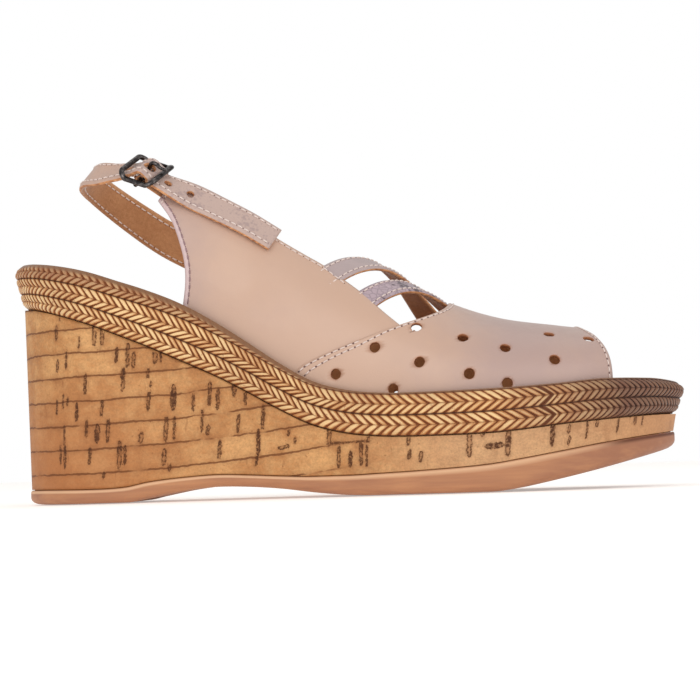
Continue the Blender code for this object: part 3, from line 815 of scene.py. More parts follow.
def place_piece(name, mesh, looks, slot, *nodes):
    """Put a finished mesh in the scene, riding on the shoe and standing for the solids it replaces."""
    for look in looks:
        mesh.materials.append(look)
    mesh.shade_smooth()
    piece = bpy.data.objects.new(name, mesh)
    bpy.context.scene.collection.objects.link(piece)
    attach(piece, "root")
    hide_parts(*nodes)
    return piece


def ring_cap(ring, columns, height):
    """Grid across a closed ring, from each lateral point to the medial one beside it, at height(x, y)."""
    half = len(ring) // 2
    lateral = ring[:half + 1]
    medial = ring[::-1][:half + 1]
    share = np.linspace(0, 1, columns)[None, :, None]
    flat = lateral[:, None, :2] + (medial - lateral)[:, None, :2] * share
    return np.dstack((flat, height(flat[..., 0], flat[..., 1])))


def punch(points, faces, holes):
    """Cut round holes: faces whose middle is inside one go, and points left on its rim move to its circle.

    Gives the points, the faces, 1 for each point on a rim, and the number that each point had before.
    """
    points = points.copy()
    raw = np.zeros(len(points))
    kept = np.ones(len(faces), bool)
    for centre, direction, radius in holes:
        offset = points - centre
        height = offset @ direction
        flat = offset - height[:, None] * direction
        distance = np.linalg.norm(flat, axis=1)
        reach = np.hypot(distance, height)
        inside = (distance[faces].mean(axis=1) < radius) & (reach[faces].max(axis=1) < 4 * radius)
        rim = np.intersect1d(faces[inside], faces[kept & ~inside])
        kept &= ~inside
        turned = flat[rim] / distance[rim][:, None] * radius
        points[rim] = centre + turned + height[rim][:, None] * direction
        raw[rim] = 1.0
    used, faces = np.unique(faces[kept], return_inverse=True)
    return points[used], faces.reshape(-1, 4), raw[used], used


def leather_piece(name, grid, thickness, looks, node, holes=(), face_looks=None, uv=None, hem=None):
    """Leather sheet over a grid (its middle surface): holes punched, edges thinned, then made solid."""
    rows, columns = grid.shape[:2]
    points, faces, raw, used = punch(grid.reshape(-1, 3), grid_quads(rows, columns), holes)
    mesh = fill_mesh(name, points, [faces], uv=None if uv is None else uv.reshape(-1, 2)[used])
    if face_looks is not None:
        row_of_face = used[faces[:, 0]] // columns
        mesh.polygons.foreach_set("material_index", face_looks[row_of_face].astype(np.int32))
    add_values(mesh, "raw", raw)
    if hem is not None:
        add_values(mesh, "hem", hem.ravel()[used])
    piece = place_piece(name, mesh, looks, "nude_leather", node)
    i, j = np.divmod(used, columns)
    depth = np.minimum(np.minimum(i, rows - 1 - i), np.minimum(j, columns - 1 - j))
    group = piece.vertex_groups.new(name="thickness")
    for chosen, weight in (
        ((depth == 0) & (raw == 0), 0.0),
        ((depth == 1) & (raw == 0), 0.7),
        ((depth > 1) & (raw == 0), 1.0),
        (raw > 0, 0.5),
    ):
        group.add(np.flatnonzero(chosen).tolist(), weight, "REPLACE")
    solid = piece.modifiers.new("thickness", "SOLIDIFY")
    solid.thickness = thickness * MM
    solid.offset = 0.0
    solid.vertex_group = group.name
    solid.thickness_vertex_group = EDGE_THICKNESS
    solid.material_offset = 1
    solid.material_offset_rim = 2


# Stitches

Row = namedtuple("Row", "points normals")


def inside_edge(grid, distance, lift):
    """Line on a sheet at this distance from the edge that is its first column, lifted to its outer face."""
    travel = travel_of(grid, 1)
    distance = np.broadcast_to(distance, len(grid))
    i = np.arange(len(grid))
    j = np.clip((travel < distance[:, None]).sum(axis=1) - 1, 0, grid.shape[1] - 2)
    share = ((distance - travel[i, j]) / (travel[i, j + 1] - travel[i, j]))[:, None]
    normals = grid_normals(grid)
    points = grid[i, j] + share * (grid[i, j + 1] - grid[i, j])
    return Row(points + lift * normals[i, j], normals[i, j])


def some_of(row, keep):
    """The part of a line where keep is true."""
    return Row(row.points[keep], row.normals[keep])


def stitch_places(row, pitch):
    """Stitches at an even pitch along a line: their middles, ways and outward directions."""
    travel = travel_of(row.points)
    count = max(int(travel[-1] / pitch), 1)
    at = (np.arange(count) + 0.5) * travel[-1] / count
    way = sample(at + STITCH_REACH, travel, row.points) - sample(at - STITCH_REACH, travel, row.points)
    return sample(at, travel, row.points), unit(way), unit(sample(at, travel, row.normals))


def stitches(name, rows, sizes, colours, sewn=None, hole_share=HOLE_SHARE):
    """Lines of stitches in one mesh, sewn with a thread: arched capsules with a dark disc of painted shade
    for the needle hole between.
    """
    pitch = sizes.stitch_pitch / MM
    thick = sizes.thread_thickness / MM
    length = pitch * sizes.stitch_share
    places = [stitch_places(row, pitch) for row in rows]
    middle, way, normal = (np.concatenate(part) for part in zip(*places))
    aside = np.cross(normal, way)
    turn = np.linspace(0, 2 * math.pi, 6, endpoint=False)
    ends = np.array([-0.43, -0.2, 0.2, 0.43])[:, None] * length
    radius = np.array([0.75, 1.0, 1.0, 0.75])[:, None] * thick / 2
    lift = np.array([0.0, 0.5, 0.5, 0.0])[:, None] * thick / 2
    body = np.stack(np.broadcast_arrays(ends, radius * np.cos(turn), lift + radius * np.sin(turn)), axis=-1)
    poles = np.array([[-0.5 * length, 0.0, -0.3 * thick], [0.5 * length, 0.0, -0.3 * thick]])
    ring = np.linspace(0, 2 * math.pi, 8, endpoint=False)
    # Each needle hole is a flat dark disc on the leather: painted shade of the hole.
    eye = hole_share * sizes.needle_hole_shade / MM / 2
    hole_shade_disc = np.stack((0.5 * pitch + eye * np.cos(ring), eye * np.sin(ring), np.full(8, 0.03)), axis=1)
    shape = np.concatenate((body.reshape(-1, 3), poles, hole_shade_disc))
    axes = np.stack((way, aside, normal), axis=1)
    points = middle[:, None, :] + shape @ axes
    number = np.arange(24).reshape(4, 6)
    after = np.roll(number, -1, axis=1)
    quads = np.stack((number[:-1], after[:-1], after[1:], number[1:]), axis=-1).reshape(-1, 4)
    first = np.stack((after[0], number[0], np.full(6, 24)), axis=-1)
    final = np.stack((number[3], after[3], np.full(6, 25)), axis=-1)
    start = (np.arange(len(middle)) * len(shape))[:, None, None]
    blocks = [
        (quads + start).reshape(-1, 4),
        (np.concatenate((first, final)) + start).reshape(-1, 3),
        (np.arange(26, 34) + start[:, 0]).reshape(-1, 8),
    ]
    looks_of = np.concatenate([np.full(len(block), int(k == 2)) for k, block in enumerate(blocks)])
    mesh = fill_mesh(name, points.reshape(-1, 3), blocks, looks_of)
    place_piece(name, mesh, [(sewn or thread)(colours), needle_hole_shade(colours)], "nude_leather")


# Shaders

class Value:
    """A shader number: wraps a socket, so that Python's operators on it add Math nodes."""

    def __init__(self, shader, socket):
        self.shader = shader
        self.socket = socket

    def math(self, operation, *others):
        return self.shader.node("ShaderNodeMath", {"operation": operation}, (self, *others))

    def __add__(self, other):
        return self.math("ADD", other)

    def __sub__(self, other):
        return self.math("SUBTRACT", other)

    def __rsub__(self, other):
        return self.shader.node("ShaderNodeMath", {"operation": "SUBTRACT"}, (other, self))

    def __mul__(self, other):
        return self.math("MULTIPLY", other)

    def __truediv__(self, other):
        return self.math("DIVIDE", other)

    def __abs__(self):
        return self.math("ABSOLUTE")

    __radd__ = __add__
    __rmul__ = __mul__

    def least(self, other):
        return self.math("MINIMUM", other)

    def most(self, other):
        return self.math("MAXIMUM", other)

    def whole(self):
        return self.math("FLOOR")

    def part(self):
        return self.math("FRACT")

    def step(self, low, high):
        """0 at low, 1 at high and a smooth step between; low may be the larger of the two."""
        return self.shader.node("ShaderNodeMapRange", {"interpolation_type": "SMOOTHSTEP"}, (self, low, high))


class Shader:
    """The node tree of a material or a world under construction."""

    def __init__(self, tree):
        self.tree = tree
        tree.nodes.clear()

    def node(self, kind, settings=None, sockets=(), output=0):
        """Add a node: its settings first, then values or links of its sockets; gives one of its outputs."""
        node = self.tree.nodes.new(kind)
        for key, value in (settings or {}).items():
            setattr(node, key, value)
        for key, value in sockets.items() if isinstance(sockets, dict) else enumerate(sockets):
            if isinstance(value, Value):
                self.tree.links.new(value.socket, node.inputs[key])
            else:
                node.inputs[key].default_value = value
        return Value(self, node.outputs[output]) if node.outputs else None

    def place(self):
        """Object coordinates, in metres."""
        return self.node("ShaderNodeTexCoord", output=3)

    def axes(self, vector):
        """The three numbers of a vector."""
        split = self.node("ShaderNodeSeparateXYZ", sockets=(vector,)).socket.node
        return [Value(self, socket) for socket in split.outputs]

    def axes_mm(self):
        """Object coordinates in millimetres."""
        return [axis * 1000.0 for axis in self.axes(self.place())]

    def vector(self, x, y, z=0.0):
        return self.node("ShaderNodeCombineXYZ", sockets=(x, y, z))

    def stretched(self, vector, scale):
        return self.node("ShaderNodeVectorMath", {"operation": "MULTIPLY"}, (vector, scale))

    def uv(self):
        """The piece's own two parameters."""
        return self.axes(self.node("ShaderNodeUVMap", {"uv_map": "UVMap"}))[:2]

    def stored(self, name):
        """A number stored at the mesh's points."""
        return self.node("ShaderNodeAttribute", {"attribute_name": name}, output=2)

    def noise(self, vector, scale, detail=2.0, roughness=0.5):
        sockets = {"Vector": vector, "Scale": scale, "Detail": detail, "Roughness": roughness}
        return self.node("ShaderNodeTexNoise", None, sockets)

    def cells(self, vector, scale, feature="F1"):
        return self.node("ShaderNodeTexVoronoi", {"feature": feature}, {"Vector": vector, "Scale": scale})

    def dice(self, x, y, z=0.0):
        """An even random number for each whole x, y and z."""
        return self.node("ShaderNodeTexWhiteNoise", {"noise_dimensions": "3D"}, (self.vector(x, y, z),))

    def mix(self, factor, first, second):
        """A colour between two others."""
        first = first if isinstance(first, Value) else (*first, 1.0)
        second = second if isinstance(second, Value) else (*second, 1.0)
        sockets = {0: factor, 6: first, 7: second}
        return self.node("ShaderNodeMix", {"data_type": "RGBA"}, sockets, output=2)

    def shade(self, colour, factor):
        """A colour times a number."""
        colour = colour if isinstance(colour, Value) else (*colour, 1.0)
        grey = self.vector(factor, factor, factor)
        return self.node("ShaderNodeMix", {"data_type": "RGBA", "blend_type": "MULTIPLY"},
                         {0: 1.0, 6: colour, 7: grey}, output=2)

    def bump(self, height, distance, strength):
        """Normal of a height given from 0 to 1 over this distance in metres."""
        sockets = {"Height": height, "Distance": distance, "Strength": strength}
        return self.node("ShaderNodeBump", None, sockets)


def look(name):
    """Turn a function that paints Principled sockets into one that gives a material, made once."""
    def wrap(paint):
        def material(*values):
            made = bpy.data.materials.get(name)
            if made is None:
                made = bpy.data.materials.new(name)
                made.use_nodes = True
                shader = Shader(made.node_tree)
                surface = shader.node("ShaderNodeBsdfPrincipled", None, paint(shader, *values))
                shader.node("ShaderNodeOutputMaterial", None, {"Surface": surface})
            return made
        return material
    return wrap


def grain(shader, pore, depth):
    """Bump of leather pores of about this size in metres: rounded cells broken by a finer noise."""
    place = shader.place()
    pores = shader.cells(place, 1 / pore)
    fine = shader.noise(place, 3 / pore, 2.0)
    return shader.bump(pores * 0.7 + fine * 0.5, depth, 0.6)


@look("nude_leather_look")
def nude_leather(shader, colours):
    """Smooth satin leather: peach ahead, painted skylight shade that turns it mauve behind and below and
    greyer towards the toe, faint clouds and fine pores.
    """
    x = shader.axes_mm()[0]
    clouds = shader.noise(shader.place(), 28.0, 3.0)
    fine = shader.noise(shader.place(), 260.0, 3.0)
    # Painted skylight shade: the leather turns to the greyer mauve shade colour behind and towards the toe,
    # while clouds and fine noise add random tone.
    rear = x.step(-34.0, -66.0) * 0.5
    toe = x.step(6.0, 66.0) * 0.75
    tint = rear + toe + (clouds - 0.5) * 0.9 + (fine - 0.5) * 0.25 + 0.08
    colour = shader.mix(tint.step(0.0, 1.0), colours.nude, colours.nude_shade)
    colour = shader.mix(shader.stored("hem") * 0.8, colour, colours.hem)
    colour = shader.mix(shader.stored("raw") * 0.35, colour, colours.raw_edge)
    return {
        "Base Color": colour,
        "Roughness": 0.36 + (fine - 0.5) * 0.16 + (clouds - 0.5) * 0.1,
        "Normal": grain(shader, 0.00045, 0.00006),
        "Specular IOR Level": 0.5,
        "Coat Weight": 0.12,
        "Coat Roughness": 0.3,
    }


@look("lining_look")
def lining(shader, colours):
    """Napped lining leather: short fibres, pale where brushed."""
    nap = shader.noise(shader.place(), 900.0, 4.0, 0.7)
    brushed = shader.noise(shader.place(), 60.0, 3.0)
    tint = (nap * 0.6 + brushed * 0.6 - 0.1).step(0.2, 0.8)
    return {
        "Base Color": shader.mix(tint, colours.lining_shade, colours.lining),
        "Roughness": 0.92,
        "Normal": shader.bump(nap, 0.00025, 0.8),
        "Sheen Weight": 0.35,
        "Sheen Roughness": 0.5,
    }


@look("leather_edge_look")
def leather_edge(shader, colours):
    """Edge of the leather: folded and nude round the pieces, raw and brown in the holes."""
    fibre = shader.noise(shader.place(), 1500.0, 3.0)
    raw = shader.stored("raw")
    colour = shader.mix(raw, colours.nude_shade, colours.raw_edge)
    return {
        "Base Color": shader.shade(colour, 0.7 + fibre * 0.5),
        "Roughness": 0.7,
        "Normal": shader.bump(fibre, 0.0001, 0.6),
    }


@look("cut_edge_look")
def cut_edge(shader, colours):
    """Thick raw edge of the straps: tan fibres with brown streaks."""
    fibre = shader.noise(shader.stretched(shader.place(), (400.0, 400.0, 1600.0)), 1.0, 3.0)
    return {
        "Base Color": shader.mix(fibre.step(0.3, 0.7), colours.raw_edge, colours.cut_edge),
        "Roughness": 0.65,
        "Normal": shader.bump(fibre, 0.0001, 0.6),
    }


@look("ribbed_leather_look")
def ribbed_leather(shader, colours):
    """Heel strap: nude leather with fine ribs across it."""
    travel, across = shader.uv()
    ribs = shader.noise(shader.vector(travel * 2.4, across * 0.35), 1.0, 2.0)
    clouds = shader.noise(shader.place(), 40.0, 3.0)
    colour = shader.mix((ribs * 0.6 + clouds * 0.5).step(0.3, 0.8), colours.nude, colours.nude_shade)
    return {
        "Base Color": colour,
        "Roughness": 0.42 + (ribs - 0.5) * 0.2,
        "Normal": shader.bump(ribs, 0.0002, 0.7),
        "Coat Weight": 0.08,
        "Coat Roughness": 0.35,
    }


@look("flecked_leather_look")
def flecked_leather(shader, colours):
    """Free end of the strap: mauve leather with grey and glittering flecks."""
    place = shader.place()
    fleck = shader.cells(place, 900.0)
    patches = shader.noise(place, 160.0, 4.0, 0.65)
    dark = (patches * 1.2 - fleck * 0.35).step(0.42, 0.62)
    colour = shader.mix(dark, colours.fleck_light, colours.fleck_dark)
    return {
        "Base Color": colour,
        "Roughness": 0.5 - dark * 0.15,
        "Metallic": dark * 0.1,
        "Normal": shader.bump(fleck + patches, 0.00012, 0.7),
    }


@look("taupe_leather_look")
def taupe_leather(shader, colours):
    """Plain instep strap."""
    clouds = shader.noise(shader.place(), 90.0, 4.0)
    return {
        "Base Color": shader.shade(colours.taupe, 0.8 + clouds * 0.4),
        "Roughness": 0.4 + (clouds - 0.5) * 0.2,
        "Normal": grain(shader, 0.0005, 0.00006),
        "Coat Weight": 0.1,
        "Coat Roughness": 0.3,
    }


@look("printed_leather_look")
def printed_leather(shader, colours):
    """Printed instep strap: mauve with dark scaly blotches towards its far end."""
    travel = shader.uv()[0]
    place = shader.place()
    scale = shader.cells(place, 420.0)
    seam = shader.cells(place, 420.0, "DISTANCE_TO_EDGE")
    blotch = shader.noise(place, 130.0, 4.0, 0.7)
    far = travel.step(10.0, 30.0)
    ink = (blotch + far * 0.16 - scale * 0.25).step(0.5, 0.62)
    net = seam.step(0.12, 0.03) * 0.35
    colour = shader.mix(ink.most(net), colours.print_light, colours.print_dark)
    return {
        "Base Color": colour,
        "Roughness": 0.38,
        "Metallic": 0.15,
        "Normal": shader.bump(seam.step(0.0, 0.25), 0.00015, 0.7),
    }


def twisted(shader, colour):
    """Sewing thread with twisted plies."""
    twist = shader.noise(shader.place(), 2600.0, 1.0)
    return {
        "Base Color": shader.shade(colour, 0.75 + twist * 0.45),
        "Roughness": 0.6,
        "Normal": shader.bump(twist, 0.00008, 0.7),
    }


@look("thread_look")
def thread(shader, colours):
    return twisted(shader, colours.thread)


@look("dark_thread_look")
def dark_thread(shader, colours):
    return twisted(shader, colours.dark_thread)


@look("needle_hole_look")
def needle_hole_shade(shader, colours):
    """Painted shade of a needle hole: a dark disc with a little random variation."""
    shade_noise = shader.noise(shader.place(), 2000.0, 1.0)
    return {
        "Base Color": shader.shade(colours.needle, 0.6 + shade_noise),
        "Roughness": 0.9,
    }


@look("braid_look")
def braid_straw(shader, colours, join):
    """Moulded braid: pale strands with a painted highlight along their middles and painted shade at their
    warm rims, tips and one side, gaps and valleys of painted brown shade, darker in the top row, and painted
    shade towards the toe.
    """
    phase, rows = shader.uv()
    x = shader.axes_mm()[0]
    lip = shader.stored("lip")
    half = (rows * 2.0).part()
    lower = 1.0 - half
    across = phase.part() * 2.0 - 1.0
    fibre = shader.noise(shader.vector(phase * 9.0, rows * 2.5), 1.0, 3.0)
    ragged = (shader.noise(shader.vector(phase * 3.0, rows * 9.0), 1.0, 3.0, 0.7) - 0.5) * 0.5
    tone = shader.dice(phase.whole(), (rows * 2.0).whole())
    rim = abs(across) / (1.0 - lower * lower * BRAID_TAPER) + ragged + (tone - 0.5) * 0.14
    tip = abs(half - 0.5) * 2.0 + ragged * 0.5
    patina = shader.noise(shader.place(), 45.0, 3.0)
    speck = shader.noise(shader.place(), 700.0, 2.0).step(0.64, 0.72)
    # Painted highlight along each strand's middle and painted shade towards its rims, its tips and one side,
    # mixed with random tone.
    warm = rim.step(0.05, 0.75) * 0.6 + tip.step(0.4, 1.0) * 0.5 + (across + 1.0) * 0.12
    rubbed = (warm + (tone - 0.5) * 0.8 + (fibre - 0.5) * 1.4).step(0.05, 1.0)
    straw = shader.mix(rubbed, colours.straw, colours.straw_shade_and_tone)
    # Painted shade that darkens the braid towards the toe.
    toe = x.step(50.0, 70.0) * 0.4 + x.step(70.0, 112.0) * 0.6
    # Painted shade along each strand's rims, beside the gaps.
    straw = shader.mix(rim.step(0.5, 0.78) * (0.85 - toe * 0.5), straw, colours.straw_rim_shade)
    third = rows.step(1.9, 2.2) * 0.5
    # Patina, specks and a darker top row, with the painted shade towards the toe added in.
    stain_and_shade = (patina.step(0.35, 0.75) * 0.3 + toe * 0.95 + third + speck * 0.45).least(0.92)
    stain_and_toe_shade = shader.mix(x.step(60.0, 100.0), colours.straw_burnt_and_shade, colours.straw_toe_shade)
    straw = shader.mix(stain_and_shade, straw, stain_and_toe_shade)
    # Painted shade in the valleys between rows, in the gaps beside strands and at their tips, with a dark
    # join where the braid's ends meet; none in the plain lip.
    valley = abs(rows.part() - 0.5).step(0.43, 0.49)
    joined = abs(phase - join).step(0.55, 0.3)
    gap = rim.step(0.74, 0.92).most(tip.step(0.88, 1.0) * 0.7).most(valley).most(joined) * (1.0 - lip)
    groove = shader.mix(toe.most(valley * 0.7), colours.braid_groove, colours.braid_pit)
    colour = shader.mix(gap, straw, groove)
    return {
        "Base Color": shader.mix(lip * 0.9, colour, colours.lip),
        "Roughness": 0.42 + gap * 0.35 + (fibre - 0.5) * 0.15,
        "Normal": shader.bump(fibre * 0.35 - gap, 0.00025, 0.7),
        "Specular IOR Level": 0.35,
        "Coat Weight": 0.08,
        "Coat Roughness": 0.3,
    }


@look("cork_look")
def cork_veneer(shader, colours, layer):
    """Cork: thin brown seams between curved layers with painted shadow beside them, ragged marks, smudges,
    specks and tones, and painted shade towards the toe.
    """
    x, y, z = shader.axes_mm()
    place = shader.place()
    ahead = x + 105.0
    wobble = shader.noise(place, 70.0, 2.0) - 0.5
    tremble = shader.noise(place, 500.0, 2.0) - 0.5
    level = (z - ahead * 0.008 - ahead * ahead * 0.00068 - 19.3 + wobble * 1.6 + tremble * 0.8) / layer
    edge = level.part().least(1.0 - level.part()) * layer
    patchy = shader.noise(place, 110.0, 3.0)
    rear = x.step(4.0, -12.0)
    seam = (edge - patchy * 0.45).step(0.2, -0.1) * patchy.step(0.3, 0.46) * rear
    # Painted shadow beside each seam, at the back of the wedge.
    shadow = edge.step(2.2, 0.1) * 0.22 * rear
    fray = shader.noise(shader.stretched(place, (1300.0, 1300.0, 800.0)), 1.0, 4.0, 0.75)
    depth = shader.stored("mark") + (fray - 0.5) * 2.1
    body = depth.step(-0.2, 0.15)
    rim = body * depth.step(0.55, 0.25)
    beads = shader.noise(shader.stretched(place, (900.0, 900.0, 1000.0)), 1.0, 3.0, 0.65).step(0.4, 0.52)
    dark = shader.noise(place, 140.0, 1.0).step(0.54, 0.62)
    mark = (rim * (0.2 + beads * 0.7)).most(body * dark * (0.3 + beads * 0.7))
    halo = depth.step(-1.4, 0.0) * 0.2
    number = level.whole()
    tone = shader.noise(shader.vector(x * 0.055, y * 0.055, number * 3.7), 1.0, 2.0)
    fibres = shader.noise(shader.stretched(place, (300.0, 300.0, 700.0)), 1.0, 4.0, 0.65)
    smudge = shader.noise(shader.stretched(place, (480.0, 480.0, 100.0)), 1.0, 2.0).step(0.64, 0.76)
    speck = shader.noise(place, 850.0, 2.0).step(0.68, 0.75)
    mottle = shader.noise(place, 190.0, 3.0, 0.6)
    blend = (tone * 1.3 + fibres * 0.9 + mottle * 1.2 - 1.2).step(0.1, 0.8)
    colour = shader.mix(blend, colours.cork, colours.cork_shade)
    colour = shader.mix(x.step(-10.0, 50.0) * 0.75, colour, colours.cork_pale)
    grit = shader.noise(place, 1300.0, 3.0, 0.7)
    colour = shader.shade(colour, 0.78 + fibres.step(0.3, 0.7) * 0.2 + grit.step(0.3, 0.7) * 0.24)
    # Redder low down at the heel, and painted shade towards the toe.
    red = (z.step(62.0, 6.0) * x.step(-30.0, -118.0)).most(x.step(65.0, 122.0) * 0.6)
    colour = shader.mix(red * 0.75, colour, colours.cork_red)
    dirt = shader.noise(place, 85.0, 4.0, 0.65).step(0.5, 0.72) * 0.35
    # Stains from the marks' halos, specks, smudges and dirt, with the painted seam shadow added in.
    stain_and_shade = halo + body * 0.3 + speck * 0.5 + smudge * patchy.step(0.4, 0.6) * 0.45
    stain_and_shade = (stain_and_shade + shadow + dirt).least(0.85)
    colour = shader.mix(stain_and_shade, colour, colours.cork_burnt)
    colour = shader.mix(seam * 0.85, colour, colours.cork_seam)
    colour = shader.mix(mark * 0.95, colour, colours.cork_ink)
    return {
        "Base Color": colour,
        "Roughness": 0.58 + mark * 0.2 + (fibres - 0.5) * 0.25,
        "Specular IOR Level": 0.25,
        "Normal": shader.bump(fibres * 0.4 - seam * 0.8 - mark, 0.0003, 0.8),
    }


@look("rubber_look")
def sole_rubber(shader, colours):
    """Moulded brown rubber: long brushed streaks, painted shade towards the toe and in the tread, and a
    painted highlight along the upper lip.
    """
    x = shader.axes_mm()[0]
    place = shader.place()
    streak = shader.noise(shader.stretched(place, (26.0, 220.0, 420.0)), 1.0, 3.0)
    clouds = shader.noise(place, 22.0, 3.0)
    fine = shader.noise(place, 1100.0, 2.0)
    toe = x.step(55.0, 120.0)
    # Painted shade towards the toe, added to the streaks' random tone.
    tint = (streak * 0.9 + clouds * 0.5 - 0.2 + toe * 0.35).step(0.15, 0.9)
    colour = shader.mix(tint, colours.rubber, colours.rubber_shade)
    # Painted shade in the pits of the tread, mixed in below.
    deep = shader.stored("deep")
    lip = shader.stored("lip") * (1.0 - toe)
    # Painted highlight along the outsole's upper lip, away from the toe.
    colour = shader.mix(lip * 0.75, colour, colours.rubber_lip)
    # Painted shade of the crevice between cork and outsole at the toe.
    colour = shader.mix(shader.stored("lip") * x.step(88.0, 100.0) * 0.85, colour, colours.tread_groove)
    return {
        "Base Color": shader.mix(deep, colour, colours.tread_groove),
        "Roughness": 0.5 + (fine - 0.5) * 0.2 + deep * 0.25,
        "Specular IOR Level": 0.22,
        "Normal": shader.bump(fine * 0.3 + streak, 0.0001, 0.6),
    }


@look("gunmetal_look")
def gunmetal(shader, colours):
    """Dark polished metal with fine wear."""
    wear = shader.noise(shader.place(), 700.0, 4.0, 0.6)
    return {
        "Base Color": shader.mix(wear.step(0.4, 0.75), colours.gunmetal, colours.gunmetal_worn),
        "Metallic": 1.0,
        "Roughness": 0.14 + wear * 0.16,
        "Normal": shader.bump(wear, 0.00003, 0.5),
    }


@look("floor_look")
def floor_paint(shader, stage):
    """Plain pale floor with a trace of unevenness."""
    clouds = shader.noise(shader.place(), 3.0, 2.0)
    pale = shader.mix(clouds, tuple(stage.floor), tuple(channel * 0.97 for channel in stage.floor))
    return {
        "Base Color": pale,
        "Roughness": 0.8,
        "Specular IOR Level": 0.2,
        "Emission Color": pale,
        "Emission Strength": stage.floor_glow,
    }


# Sizes and colours that a user would change

def size_value(name, description, value):
    return FloatProperty(name=name, description=description, default=value * MM, subtype="DISTANCE",
                         precision=5)


def share_value(name, description, value):
    return FloatProperty(name=name, description=description, default=value, subtype="FACTOR",
                         min=0.0, max=1.0)


def angle_value(name, description, degrees):
    return FloatProperty(name=name, description=description, default=math.radians(degrees), subtype="ANGLE")


def power_value(name, description, value):
    return FloatProperty(name=name, description=description, default=value, subtype="POWER")


def colour_value(name, description, red, green, blue):
    return FloatVectorProperty(name=name, description=description, default=srgb(red, green, blue),
                               subtype="COLOR", size=3, min=0.0, max=1.0)


class SandalSizes(bpy.types.PropertyGroup):
    """Sizes of the fine work."""

    braid_relief: size_value("Braid relief", "Depth of the grooves between strands", 0.45)
    braid_valley: size_value("Braid valley", "Depth of the valleys between rows of braid", 0.9)
    cork_layer: size_value("Cork layer", "Height of a layer of cork", 8.7)
    tread_depth: size_value("Tread depth", "Depth of the tread", 0.9)
    tread_pitch: size_value("Forefoot tread", "Side of a triangle in the forefoot tread", 3.9)
    heel_tread_pitch: size_value("Heel tread", "Side of a triangle in the heel tread", 5.6)
    stitch_pitch: size_value("Stitch pitch", "Distance from stitch to stitch", 2.6)
    stitch_share: share_value("Stitch length", "Share of the pitch that thread covers", 0.82)
    thread_thickness: size_value("Thread", "Thickness of the sewing thread", 0.55)
    # Width of the dark disc of painted shade that stands for a needle hole.
    needle_hole_shade: size_value("Needle hole", "Width of a needle hole", 0.75)
    edge_seam: size_value("Edge seam", "Distance of a seam from the edge of the leather", 1.8)
    lap_seam: size_value("Lap seam", "Distance of the second seam from the vamp's edge", 3.7)
    lap_rows: size_value("Lap rows", "Distance between the two seams of the lap", 2.6)


